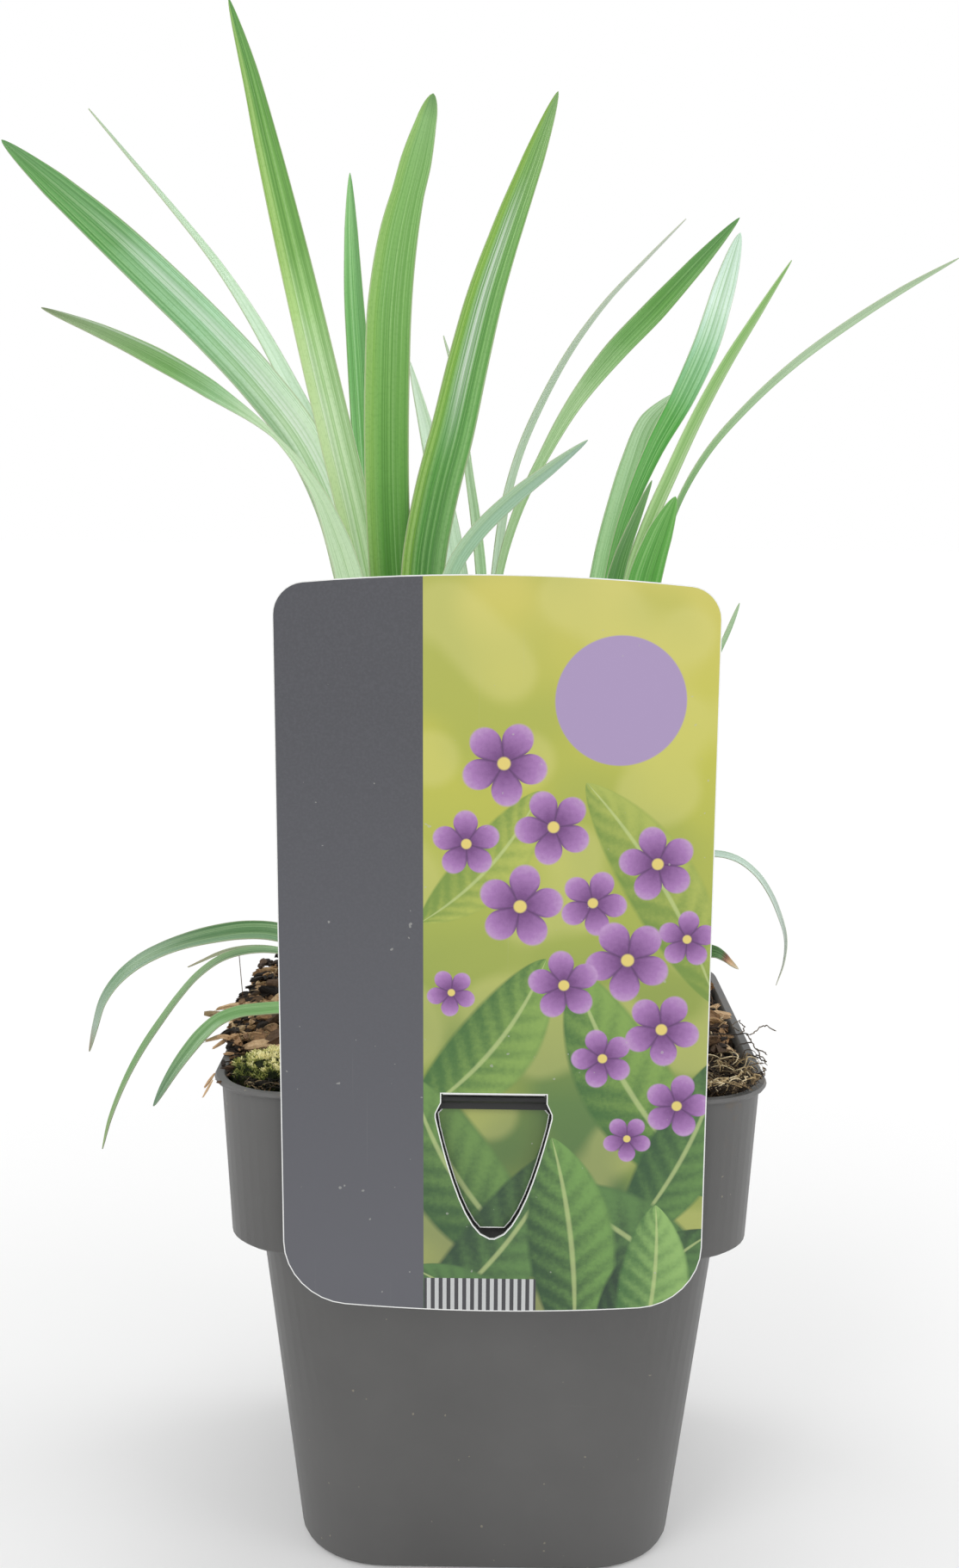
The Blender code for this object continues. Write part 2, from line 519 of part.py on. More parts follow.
def build_leaf(name, slot, width, shape, roll, facing, points):
    x, y = points[0]
    reach = width * shape[0] / 2
    base = max(crown_top(x + dx * reach, y + dy) for dx in (-1, -0.5, 0, 0.5, 1) for dy in (-0.4, 0.4))
    points = [(x, y, base + REST_GAP)] + list(points[1:])
    spots = through(points, STATIONS)
    look = Vector((0.0, -1.0, 0.12)) if facing == "front" else Vector((-0.1, -0.55, 0.83))
    loops = []
    for k in range(STATIONS - 1):
        s = k / (STATIONS - 1)
        run = (spots[min(k + 1, STATIONS - 1)] - spots[max(k - 1, 0)]).normalized()
        if k == 0:
            run = Vector((run.x * 0.3, run.y * 0.3, 1.0)).normalized()
        face = (look - run * look.dot(run)).normalized()
        side = run.cross(face)
        a = math.radians(roll[0] + (roll[1] - roll[0]) * s)
        face, side = face * math.cos(a) + side * math.sin(a), side * math.cos(a) - face * math.sin(a)
        w = width * blade_share(s, shape) / 2
        fold = LEAF_FOLD * w * 2 * (1.0 - 0.5 * s)
        thick = LEAF_THICK * (0.5 + 0.5 * min(1.0, w / 2.5)) / 2
        c = spots[k]
        loops.append([tuple(c - side * w), tuple(c + face * (thick - fold)),
                      tuple(c + side * w), tuple(c - face * (thick + fold))])
    verts = [p for loop in loops for p in loop] + [tuple(spots[-1])]
    faces = [(3, 2, 1, 0)]
    for k in range(len(loops) - 1):
        for i in range(4):
            j = (i + 1) % 4
            faces.append((k * 4 + i, k * 4 + j, k * 4 + 4 + j, k * 4 + 4 + i))
    last = (len(loops) - 1) * 4
    for i in range(4):
        faces.append((last + i, last + (i + 1) % 4, len(verts) - 1))
    return new_object(name, verts, faces, slot)


def main():
    for obj in list(bpy.data.objects):
        bpy.data.objects.remove(obj)
    build_pot()
    build_label()
    build_soil()
    for name, cx, cy, rx, ry, height in CROWNS:
        build_lump(name, "crown_sheath", cx, cy, rx, ry, height, power=4.0)
    for name, slot, cx, cy, rx, ry, height, turn in LUMPS:
        build_lump(name, slot, cx, cy, rx, ry, height, turn, rough=0.06)
    for row in CHIPS:
        build_chip(*row)
    for row in LEAVES:
        build_leaf(*row)


main()
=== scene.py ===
"""Potted lily turf in a square nursery pot.

The frame brings the pot, the label, the potting mix and one plain blade for each leaf. The operators
below turn each plain blade into a veined leaf, print the label, litter the potting mix with bark and
fibre, grow the moss and the leaf sheaths, and set up the studio.
"""
import json
import math
import random

import bmesh
import bpy
from bpy.props import FloatProperty, FloatVectorProperty, IntProperty, PointerProperty
from bpy.types import Operator, Panel, PropertyGroup
from mathutils import Matrix, Vector, noise
from mathutils.bvhtree import BVHTree


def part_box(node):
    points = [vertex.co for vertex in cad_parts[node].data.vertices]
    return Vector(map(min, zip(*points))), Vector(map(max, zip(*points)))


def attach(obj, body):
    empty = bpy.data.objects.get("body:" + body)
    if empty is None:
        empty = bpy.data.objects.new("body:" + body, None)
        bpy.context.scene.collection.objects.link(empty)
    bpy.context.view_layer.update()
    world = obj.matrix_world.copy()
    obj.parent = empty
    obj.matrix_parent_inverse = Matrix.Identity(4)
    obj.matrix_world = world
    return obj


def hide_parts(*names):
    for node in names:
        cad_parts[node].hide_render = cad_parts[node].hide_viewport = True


bl_info = {
    "name": "Potted Lily Turf",
    "version": (1, 0, 0),
    "blender": (4, 5, 0),
    "location": "3D View > Sidebar > Lily Turf",
    "description": "Finishes a potted lily turf plant piece by piece",
    "category": "Object",
}

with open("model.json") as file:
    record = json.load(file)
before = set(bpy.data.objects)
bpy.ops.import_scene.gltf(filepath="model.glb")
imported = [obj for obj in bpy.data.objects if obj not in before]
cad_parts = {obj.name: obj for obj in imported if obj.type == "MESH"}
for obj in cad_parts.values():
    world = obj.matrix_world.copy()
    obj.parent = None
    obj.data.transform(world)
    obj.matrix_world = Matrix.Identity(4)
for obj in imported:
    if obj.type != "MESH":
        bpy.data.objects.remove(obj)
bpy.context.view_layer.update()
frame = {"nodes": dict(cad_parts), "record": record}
NODES = frame["nodes"]
LEAF_NODES = sorted(name for name in NODES if name.startswith("leaf_"))
MM = 0.001

# A matte white surface comes out this bright on the stage
STAGE_GAIN = 1.2


def tone(red, green, blue):
    """A colour as it looks on the stage, from 0 to 255, turned into the light that a surface returns."""
    return tuple(((c / 255) / 12.92 if c < 11 else ((c / 255 + 0.055) / 1.055) ** 2.4) / STAGE_GAIN
                 for c in (red, green, blue))


def leaf_tone(colour):
    """A leaf colour, a little stronger than it looks, because the gloss washes it out."""
    red, green, blue = tone(*colour)
    grey = 0.25 * red + 0.65 * green + 0.10 * blue
    return tuple(max(0.004, (grey + (c - grey) * 1.12) * 1.1) for c in (red, green, blue))


# The potting mix in metres: half width, corner radius, and the notch that the label pocket cuts in it
MIX_HALF, MIX_CORNER = 0.0612, 0.0165
POCKET_X, POCKET_HALF, POCKET_BACK = 0.0008, 0.0195, -0.0555
# Heights of the pot's rim and of the mix beside it
RIM_TOP, MIX_TOP = 0.1274, 0.1255
# How far apart the veins of a leaf lie
VEIN_GAP = 0.0007

# The camera as fitted to the view: focal length and picture height in pixels, place, angles in degrees
FOCAL_PX, PICTURE_PX = 2072.0, 1822.0
SENSOR_MM = 36.0
CAMERA_PLACE = (-0.00115, -0.4530, 0.2569)
CAMERA_PITCH, CAMERA_YAW, CAMERA_ROLL = 8.53, -0.316, 0.68
# Each soft light: name, place, size and power. They all look at LIGHT_AIM.
LIGHT_AIM = Vector((0, 0, 0.18))
LIGHTS = (
    ("key", (-0.9, -1.3, 1.5), 0.9, 9.0),
    ("fill", (1.5, -0.9, 0.9), 0.9, 6.0),
    ("left_edge", (-1.1, 0.5, 0.9), 0.7, 4.0),
    ("right_edge", (1.1, 0.4, 0.8), 0.7, 4.0),
    ("top", (0.1, 0.2, 1.7), 0.8, 5.0),
)


class Look:
    """How one leaf looks.

    stops: places from root (0) to tip (1), each with the colour there.
    rough, contrast and fold: roughness, strength of the veins, depth of the channel.
    streak: a painted highlight, a stretch painted pale where the leaf would shine, as place across, half
    width, start, end and strength.
    left and right: a second colour along that edge, as colour, strength and width. A paler one is painted
    light and a darker one painted shade, on that half of the folded leaf.
    slim: places from root to tip, each with the width there against the plain blade.
    nudge: a shift of the blade, as x, y and z, then its place along the blade and its reach.
    """

    def __init__(self, *stops, rough=0.42, streak=None, left=None, right=None,
                 slim=((0.0, 1.0), (1.0, 1.0)), fold=1.0, contrast=1.0, nudge=None):
        self.stops = [(place, leaf_tone(colour)) for place, colour in stops]
        self.rough, self.streak, self.fold, self.contrast = rough, streak, fold, contrast
        self.left, self.right, self.slim, self.nudge = left, right, slim, nudge

    def width(self, t):
        """How much wider or slimmer than the plain blade the leaf is at t."""
        for (t0, w0), (t1, w1) in zip(self.slim, self.slim[1:]):
            if t <= t1:
                return w0 + (w1 - w0) * (t - t0) / (t1 - t0)
        return self.slim[-1][1]


PALE = Look(
    (0.0, (170, 205, 150)), (0.5, (206, 228, 202)), (0.85, (214, 226, 210)), (1.0, (200, 202, 190)),
    rough=0.5)
# How each leaf looks. A leaf that isn't listed looks like PALE.
LEAF_LOOKS = {
    # The near-white colours by the root are painted light: they stand in for light through the leaf and its
    # gloss, and offset the shade of the other leaves
    "leaf_broad_left": Look(
        (0.0, (236, 255, 228)), (0.50, (238, 255, 236)), (0.64, (186, 226, 192)), (0.78, (118, 172, 112)),
        (0.9, (98, 156, 88)), (1.0, (88, 140, 80)),
        rough=0.30, fold=1.6, contrast=1.2, streak=(0.63, 0.20, 0.34, 0.84, 0.8),
        left=((84, 148, 70), 0.55, 0.12)),
    "leaf_low_left": Look(
        (0.0, (204, 228, 192)), (0.62, (204, 228, 194)), (0.70, (156, 196, 150)), (0.77, (122, 168, 102)),
        (0.9, (140, 166, 122)), (1.0, (120, 126, 100)),
        rough=0.45, fold=1.4, streak=(0.90, 0.14, 0.7, 1.0, 0.5),
        slim=((0.0, 1.0), (0.5, 1.15), (0.57, 0.95), (0.64, 0.48), (0.71, 0.16), (0.75, 0.42),
              (0.80, 0.80), (0.87, 1.0), (1.0, 1.0))),
    # The near-white colours by the root are painted light: they stand in for light through the leaf and its
    # gloss, and offset the shade of the other leaves
    "leaf_tallest": Look(
        (0.0, (238, 255, 222)), (0.50, (236, 255, 220)), (0.60, (190, 228, 158)), (0.68, (136, 184, 100)),
        (0.82, (106, 160, 72)), (1.0, (84, 142, 70)),
        rough=0.42, fold=1.3, contrast=1.25, left=((176, 206, 104), 0.45, 0.16),
        right=((120, 172, 90), 0.35, 0.3), streak=(0.36, 0.10, 0.2, 0.70, 0.55)),
    "leaf_slim_centre": Look(
        (0.0, (104, 162, 86)), (0.5, (140, 204, 128)), (1.0, (152, 206, 140)),
        rough=0.34, right=((70, 134, 66), 0.5, 0.25), contrast=1.4),
    "leaf_broad_centre": Look(
        (0.0, (80, 142, 48)), (0.40, (82, 144, 50)), (0.60, (118, 170, 86)), (0.8, (136, 184, 108)),
        (0.94, (146, 188, 124)), (1.0, (116, 156, 100)),
        rough=0.55, contrast=1.0, left=((156, 190, 90), 0.35, 0.12),
        slim=((0.0, 0.94), (0.5, 1.0), (0.78, 1.0), (0.90, 0.94), (0.97, 1.2), (1.0, 1.6))),
    "leaf_gloss_centre": Look(
        (0.0, (72, 132, 46)), (0.36, (70, 134, 44)), (0.56, (96, 160, 74)), (0.72, (112, 168, 82)),
        (0.88, (124, 170, 92)), (1.0, (126, 164, 104)),
        rough=0.27, fold=1.3, contrast=1.25, left=((164, 196, 84), 0.55, 0.10),
        streak=(0.44, 0.24, 0.50, 0.86, 1.0), slim=((0.0, 1.0), (0.62, 1.0), (0.84, 0.84), (1.0, 0.9))),
    "leaf_arch_right": Look(
        (0.0, (196, 226, 182)), (0.62, (186, 216, 168)), (0.71, (128, 178, 106)), (0.78, (104, 160, 78)),
        (1.0, (90, 144, 80)),
        rough=0.38, fold=1.4, contrast=1.4,
        slim=((0.0, 0.3), (0.5, 0.36), (0.64, 0.40), (0.71, 0.55), (0.79, 0.8), (0.86, 0.9),
              (1.0, 0.9))),
    "leaf_thin_arch": Look(
        (0.0, (176, 210, 168)), (0.5, (192, 212, 190)), (1.0, (200, 202, 196)),
        rough=0.5, contrast=0.6, slim=((0.0, 0.9), (0.4, 0.8), (1.0, 0.7))),
    "leaf_thin_back_left": Look(
        (0.0, (206, 232, 202)), (0.5, (228, 246, 230)), (0.7, (206, 230, 204)), (1.0, (176, 194, 168)),
        rough=0.5, contrast=0.5),
    # The near-white upper part is a painted reflection: the silver sheen of bright light at a grazing angle
    "leaf_silver_right": Look(
        (0.0, (96, 158, 70)), (0.5, (88, 158, 70)), (0.66, (96, 172, 84)), (0.76, (170, 214, 178)),
        (0.84, (226, 246, 236)), (1.0, (214, 236, 226)),
        rough=0.4, contrast=1.3,
        slim=((0.0, 0.3), (0.55, 0.36), (0.64, 0.52), (0.71, 0.68), (0.79, 0.9), (0.86, 1.05),
              (0.93, 1.25), (1.0, 1.5))),
    "leaf_folded_right": Look(
        (0.0, (104, 160, 80)), (0.6, (160, 202, 146)), (1.0, (190, 216, 182)),
        rough=0.5, right=((84, 148, 62), 0.5, 0.2)),
    "leaf_slim_right": Look(
        (0.0, (156, 200, 130)), (0.5, (180, 214, 152)), (1.0, (134, 180, 100)),
        rough=0.42, contrast=1.3, right=((206, 224, 188), 0.5, 0.2), slim=((0.0, 0.9), (1.0, 0.78))),
    "leaf_long_arch": Look(
        (0.0, (100, 164, 76)), (0.42, (98, 152, 82)), (0.56, (150, 184, 136)), (0.7, (182, 204, 174)),
        (1.0, (172, 192, 162)),
        rough=0.45, contrast=0.7, slim=((0.0, 0.3), (0.4, 0.34), (0.65, 0.56), (1.0, 0.7))),
    "leaf_short_front": Look(
        (0.0, (76, 148, 52)), (0.6, (88, 164, 66)), (1.0, (118, 180, 96)),
        rough=0.36, contrast=1.1, slim=((0.0, 1.0), (0.8, 1.1), (1.0, 1.35))),
    "leaf_dark_edge": Look(
        (0.0, (58, 116, 46)), (0.6, (74, 136, 60)), (1.0, (120, 160, 106)),
        rough=0.36, contrast=1.3),
    "leaf_behind_label": Look(
        (0.0, (104, 156, 84)), (1.0, (176, 200, 168)),
        rough=0.4, nudge=(-0.0085, 0.0, -0.002, 0.60, 0.46),
        slim=((0.0, 0.5), (0.7, 0.4), (0.9, 0.6), (1.0, 1.0))),
    "leaf_pale_side": Look(
        (0.0, (206, 232, 180)), (0.3, (190, 222, 172)), (0.65, (172, 206, 178)), (1.0, (158, 182, 168)),
        rough=0.45, left=((204, 228, 190), 0.4, 0.3), contrast=0.7,
        slim=((0.0, 0.6), (0.5, 0.62), (0.8, 0.8), (1.0, 0.95))),
    "leaf_droop_upper": Look(
        (0.0, (100, 144, 90)), (0.5, (86, 126, 82)), (0.70, (120, 154, 124)), (0.86, (176, 188, 182)),
        (1.0, (150, 120, 100)),
        rough=0.42, contrast=1.3, left=((144, 178, 150), 0.35, 0.25)),
    "leaf_droop_middle": Look(
        (0.0, (150, 184, 150)), (0.35, (98, 132, 88)), (0.7, (110, 150, 98)), (1.0, (150, 168, 118)),
        rough=0.45, slim=((0.0, 0.6), (0.5, 0.72), (1.0, 0.8))),
    "leaf_droop_front": Look(
        (0.0, (146, 198, 126)), (0.35, (132, 178, 114)), (0.7, (114, 154, 104)), (1.0, (106, 134, 114)),
        rough=0.45, slim=((0.0, 0.62), (0.6, 0.72), (1.0, 0.8))),
    "leaf_dry_thread": Look(
        (0.0, (140, 160, 120)), (0.6, (136, 150, 124)), (1.0, (150, 124, 108)),
        rough=0.6),
    "leaf_hook_right": Look(
        (0.0, (206, 226, 218)), (0.5, (200, 218, 208)), (0.85, (222, 230, 226)), (1.0, (204, 196, 186)),
        rough=0.45, contrast=0.6, slim=((0.0, 0.9), (0.6, 0.8), (1.0, 0.7))),
    "leaf_brown_tip": Look(
        (0.0, (70, 116, 46)), (0.74, (58, 104, 42)), (0.79, (116, 58, 36)), (0.84, (206, 164, 126)),
        (1.0, (238, 226, 204)),
        rough=0.5, slim=((0.0, 1.0), (0.7, 0.9), (0.9, 0.6), (1.0, 0.6))),
    "leaf_back_blade": Look(
        (0.0, (160, 204, 152)), (0.5, (206, 230, 206)), (1.0, (200, 218, 198)),
        rough=0.5, contrast=0.6, slim=((0.0, 1.3), (0.5, 1.8), (0.8, 2.0), (1.0, 1.6))),
    "leaf_spike_back": Look(
        (0.0, (126, 176, 106)), (0.5, (166, 202, 156)), (1.0, (180, 196, 172)),
        rough=0.5, contrast=0.7),
}


# Settings that a user would change

class LeafSettings(PropertyGroup):
    across: IntProperty(name="Faces across", description="Faces from edge to edge of a leaf",
                        default=16, min=6)
    along: IntProperty(name="Faces along", description="Faces from root to tip of a leaf",
                       default=110, min=20)
    thickness: FloatProperty(name="Thickness", description="Thickness of the blade", default=0.0003,
                             unit="LENGTH")
    ridge: FloatProperty(name="Vein ridge", description="Height of the long ridges", default=0.00005,
                         unit="LENGTH")


class LabelSettings(PropertyGroup):
    slate: FloatVectorProperty(name="Band", description="Colour of the plain band", subtype="COLOR",
                               default=(0.061, 0.062, 0.072), min=0, max=1)
    lime: FloatVectorProperty(name="Field", description="Light colour of the picture field", subtype="COLOR",
                              default=(0.50, 0.49, 0.065), min=0, max=1)
    lilac: FloatVectorProperty(name="Disc", description="Colour of the plain disc", subtype="COLOR",
                               default=(0.36, 0.27, 0.46), min=0, max=1)
    cut_edge: FloatProperty(name="Cut edge", description="Width of the bright cut edge", default=0.00024,
                            unit="LENGTH")


class PotSettings(PropertyGroup):
    plastic: FloatVectorProperty(name="Plastic", description="Colour of the pot", subtype="COLOR",
                                 default=(0.093, 0.092, 0.090), min=0, max=1)
    roughness: FloatProperty(name="Roughness", description="Roughness of the plastic", default=0.48,
                             subtype="FACTOR", min=0, max=1)


class LitterSettings(PropertyGroup):
    chips: IntProperty(name="Chips", description="Bark chips on the potting mix", default=1150, min=0)
    fibres: IntProperty(name="Fibres", description="Loose fibres on the potting mix", default=420, min=0)
    moss: IntProperty(name="Moss leaves", description="Small leaves on the moss cushion", default=7000, min=0)


class StageSettings(PropertyGroup):
    floor: FloatVectorProperty(name="Floor", description="Colour of the floor", subtype="COLOR",
                               default=(0.86, 0.86, 0.86), min=0, max=1)
    light: FloatProperty(name="Light", description="Strength of the surrounding light", default=1.0, min=0)


# Selecting and finishing

def select_only(*objs):
    for obj in bpy.context.selected_objects:
        obj.select_set(False)
    for obj in objs:
        obj.select_set(True)
    bpy.context.view_layer.objects.active = objs[0] if objs else None


def apply_modifiers(obj):
    select_only(obj)
    for mod in list(obj.modifiers):
        bpy.ops.object.modifier_apply(modifier=mod.name)


def keep(obj, name, mat, slot, *nodes):
    """Name the piece, dress it, and let it ride on the frame's body."""
    obj.name = name
    obj.data.name = name
    obj.data.materials.clear()
    obj.data.materials.append(mat)
    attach(obj, "root")
    if nodes:
        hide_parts(*nodes)
    return obj


def dress(node, *mats):
    """Give a piece that comes with the frame its finish."""
    data = NODES[node].data
    data.materials.clear()
    for mat in mats:
        data.materials.append(mat)


def welded_copy(node, name):
    """A copy of a frame piece with its faces joined, to shape further."""
    made = bpy.data.objects.new(name, NODES[node].data.copy())
    bpy.context.collection.objects.link(made)
    select_only(made)
    bpy.ops.object.mode_set(mode="EDIT")
    bpy.ops.mesh.select_all(action="SELECT")
    bpy.ops.mesh.remove_doubles(threshold=1e-6)
    bpy.ops.mesh.dissolve_limited(angle_limit=math.radians(0.3))
    bpy.ops.object.mode_set(mode="OBJECT")
    return made


def ground(node):
    """A way to ask for the height of a frame piece's top at x, y. It gives None beside the piece."""
    mesh = NODES[node].data
    tree = BVHTree.FromPolygons([v.co[:] for v in mesh.vertices], [p.vertices[:] for p in mesh.polygons])

    def height(x, y):
        spot = tree.ray_cast(Vector((x, y, 0.5)), Vector((0, 0, -1)))[0]
        return spot.z if spot is not None else None
    return height


# Materials

class Finish:
    """Builds a node material step by step."""

    def __init__(self, name, roughness=0.5, specular=0.5, coat=0.0, coat_roughness=0.2):
        self.mat = bpy.data.materials.new(name)
        self.mat.use_nodes = True
        self.tree = self.mat.node_tree
        self.shader = self.tree.nodes["Principled BSDF"]
        for socket, value in (("Roughness", roughness), ("Specular IOR Level", specular),
                              ("Coat Weight", coat), ("Coat Roughness", coat_roughness)):
            self.shader.inputs[socket].default_value = value
        self.coords = self.tree.nodes.new("ShaderNodeTexCoord")

    def put(self, socket, value):
        if isinstance(value, bpy.types.NodeSocket):
            self.tree.links.new(value, socket)
        elif hasattr(value, "__len__") and len(value) == 3 and socket.type == "RGBA":
            socket.default_value = (*value, 1.0)
        else:
            socket.default_value = value

    def node(self, kind, *values, **props):
        made = self.tree.nodes.new(kind)
        for key, value in props.items():
            setattr(made, key, value)
        for i, value in enumerate(values):
            if value is not None:
                self.put(made.inputs[i], value)
        return made

    def math(self, how, a, b=0.0):
        return self.node("ShaderNodeMath", a, b, operation=how).outputs[0]

    def plus(self, a, b):
        return self.math("ADD", a, b)

    def minus(self, a, b):
        return self.math("SUBTRACT", a, b)

    def times(self, a, b):
        return self.math("MULTIPLY", a, b)

    def apart(self, a, b):
        """How far a and b lie apart."""
        return self.math("ABSOLUTE", self.minus(a, b))

    def distance(self, x, y):
        """How far the point x, y lies from the middle."""
        return self.math("SQRT", self.plus(self.times(x, x), self.times(y, y)))

    def remap(self, value, low, high, new_low=0.0, new_high=1.0, smooth=False):
        made = self.node("ShaderNodeMapRange", value, low, high, new_low, new_high)
        made.interpolation_type = "SMOOTHSTEP" if smooth else "LINEAR"
        return made.outputs[0]

    def scaled(self, vector, x, y, z=1.0, shift=(0, 0, 0)):
        return self.node("ShaderNodeMapping", vector, shift, None, (x, y, z)).outputs[0]

    def noise(self, vector, scale, detail=3.0, rough=0.5):
        made = self.node("ShaderNodeTexNoise", vector)
        made.inputs["Scale"].default_value = scale
        made.inputs["Detail"].default_value = detail
        made.inputs["Roughness"].default_value = rough
        return made.outputs["Fac"]

    def ramp(self, value, stops):
        made = self.node("ShaderNodeValToRGB", value)
        points = made.color_ramp.elements
        while len(points) < len(stops):
            points.new(0.5)
        for point, (place, colour) in zip(points, stops):
            point.position = place
            point.color = (*colour, 1.0)
        return made.outputs[0]

    def mix(self, amount, a, b, how="MIX"):
        made = self.tree.nodes.new("ShaderNodeMix")
        made.data_type = "RGBA"
        made.blend_type = how
        self.put(made.inputs["Factor"], amount)
        self.put(made.inputs[6], a)
        self.put(made.inputs[7], b)
        return made.outputs[2]

    def split(self, vector):
        return self.node("ShaderNodeSeparateXYZ", vector).outputs

    def bump(self, height, strength, distance, under=None):
        made = self.tree.nodes.new("ShaderNodeBump")
        made.inputs["Strength"].default_value = strength
        made.inputs["Distance"].default_value = distance
        self.put(made.inputs["Height"], height)
        if under is not None:
            self.put(made.inputs["Normal"], under)
        return made.outputs[0]

    def done(self, colour, roughness=None, normal=None):
        self.put(self.shader.inputs["Base Color"], colour)
        if roughness is not None:
            self.put(self.shader.inputs["Roughness"], roughness)
        if normal is not None:
            self.put(self.shader.inputs["Normal"], normal)
        return self.mat


def painted_leaf_shine(f, u, v, fine, veins, streak):
    """Painted highlight: where a leaf would catch the light, its colour is painted pale in fine white lines.
    """
    centre, spread, low, high, amount = streak
    near = f.remap(f.apart(u, centre), spread, spread * 0.2, 0.0, 1.0, True)
    reach = (high - low) / 2
    far = f.remap(f.apart(v, (low + high) / 2), reach, reach * 0.35, 0.0, 1.0, True)
    thread = f.times(f.remap(fine, 0.38, 0.60, 0.15, 1.0), f.remap(veins, 0.36, 0.58, 0.35, 1.0))
    return f.times(f.times(near, far), f.times(thread, amount))


def leaf_finish(name, look, half):
    """Veined leaf, with as many veins as fit across it at VEIN_GAP."""
    lines = max(3.0, min(16.0, 2 * half / VEIN_GAP))
    f = Finish(name + "_finish", look.rough, 0.5, coat=0.2, coat_roughness=0.25)
    uv = f.coords.outputs["UV"]
    u, v, _ = f.split(uv)
    seed = random.Random(name).random() * 40
    fine = f.noise(f.scaled(uv, lines * 2.7, 1.6, 1, (seed, seed, 0)), 1.0, 2.0, 0.6)
    veins = f.noise(f.scaled(uv, lines * 1.3, 0.9, 1, (seed + 3, seed, 0)), 1.0, 1.5, 0.6)
    bands = f.noise(f.scaled(uv, lines * 0.38, 0.6, 1, (seed + 7, seed, 0)), 1.0, 1.0, 0.5)
    cells = f.noise(f.scaled(uv, lines, 260, 1, (seed, 0, 0)), 1.0, 1.0, 0.5)
    # The colours run from root to tip with an uneven drift, and each edge can have its own: a paler tint is
    # painted light, a darker one painted shade, on that half of the folded leaf
    spots = f.noise(f.coords.outputs["Object"], 55.0, 3.0, 0.55)
    colour = f.ramp(f.plus(v, f.times(f.minus(spots, 0.5), 0.10)), look.stops)
    for side, edge in ((look.left, u), (look.right, f.minus(1.0, u))):
        if side:
            tint, amount, width = side
            colour = f.mix(f.remap(edge, width + 0.22, width, 0.0, amount, True), colour, leaf_tone(tint))
    dark = f.mix(1.0, colour, (0.46, 0.62, 0.36), "MULTIPLY")
    light = f.mix(0.40, colour, (0.56, 0.78, 0.40))
    # Lengthways streaks: where each turns dark and how much, then where it turns light and how much
    for streaks, low, high, darker, low_light, high_light, lighter in (
            (bands, 0.50, 0.30, 0.42, 0.52, 0.70, 0.42),
            (veins, 0.46, 0.36, 0.50, 0.56, 0.64, 0.40),
            (fine, 0.48, 0.34, 0.62, 0.57, 0.66, 0.45)):
        colour = f.mix(f.remap(streaks, low, high, 0.0, darker * look.contrast), colour, dark)
        colour = f.mix(f.remap(streaks, low_light, high_light, 0.0, lighter * look.contrast), colour, light)
    colour = f.mix(f.remap(cells, 0.50, 0.68, 0.0, 0.20 * min(1.0, lines / 12)), colour, dark)
    # A painted highlight: pale lines mixed into the colour where the leaf would catch the light
    if look.streak:
        colour = f.mix(painted_leaf_shine(f, u, v, fine, veins, look.streak), colour, tone(226, 238, 226))
    # Pale line along each edge and a darker channel at the middle
    off = f.apart(u, 0.5)
    colour = f.mix(f.remap(off, 0.468, 0.49, 0.0, 0.55), colour, tone(206, 214, 176))
    colour = f.mix(f.remap(off, 0.026, 0.0, 0.0, 0.7 * min(look.contrast, 1.0)), colour, dark)
    rough = f.remap(fine, 0.3, 0.7, look.rough + 0.12, max(0.14, look.rough - 0.1))
    normal = f.bump(fine, 0.28 * min(1.0, lines / 10), 0.00012)
    normal = f.bump(veins, 0.35 * min(1.0, lines / 8), 0.00022, normal)
    return f.done(colour, rough, normal)


def plastic_finish(colour, roughness):
    """Black plastic with dull clouds, light scuffs, specks, soil below the rim, and painted shade on the bar
    across the label pocket.
    """
    f = Finish("pot_finish", roughness, 0.5)
    place = f.coords.outputs["Object"]
    x, y, z = f.split(place)
    grain = f.noise(place, 1500.0, 2.0, 0.7)
    cloud = f.noise(place, 24.0, 4.0, 0.6)
    scuff = f.noise(f.scaled(place, 30, 30, 420), 1.0, 3.0, 0.7)
    specks = f.noise(place, 640.0, 1.0, 0.4)
    base = f.mix(f.remap(cloud, 0.35, 0.7), colour, tuple(c * 1.22 for c in colour))
    base = f.mix(f.remap(scuff, 0.68, 0.82, 0.0, 0.10), base, (0.22, 0.22, 0.21))
    base = f.mix(f.remap(specks, 0.790, 0.805, 0.0, 0.5), base, (0.36, 0.32, 0.24))
    # Dust and soil that cling below the rim
    dirt = f.times(f.remap(z, 0.108, 0.127), f.remap(f.noise(place, 210.0, 3.0), 0.60, 0.70))
    base = f.mix(f.times(dirt, 0.45), base, (0.13, 0.10, 0.07))
    # Painted shade: the bar across the label pocket is coloured near black, as if it lay in shadow, and dust
    # never dulls it
    bar_painted_shade = f.times(f.remap(y, -0.0598, -0.0602), f.remap(f.apart(z, 0.1262), 0.0034, 0.0031))
    bar_painted_shade = f.times(bar_painted_shade, f.remap(f.math("ABSOLUTE", x), 0.0185, 0.018))
    base = f.mix(bar_painted_shade, base, (0.012, 0.012, 0.012))
    rough = f.remap(cloud, 0.3, 0.75, roughness - 0.04, roughness + 0.12)
    normal = f.bump(grain, 0.16, 0.0001)
    normal = f.bump(cloud, 0.10, 0.0006, normal)
    return f.done(base, rough, normal)


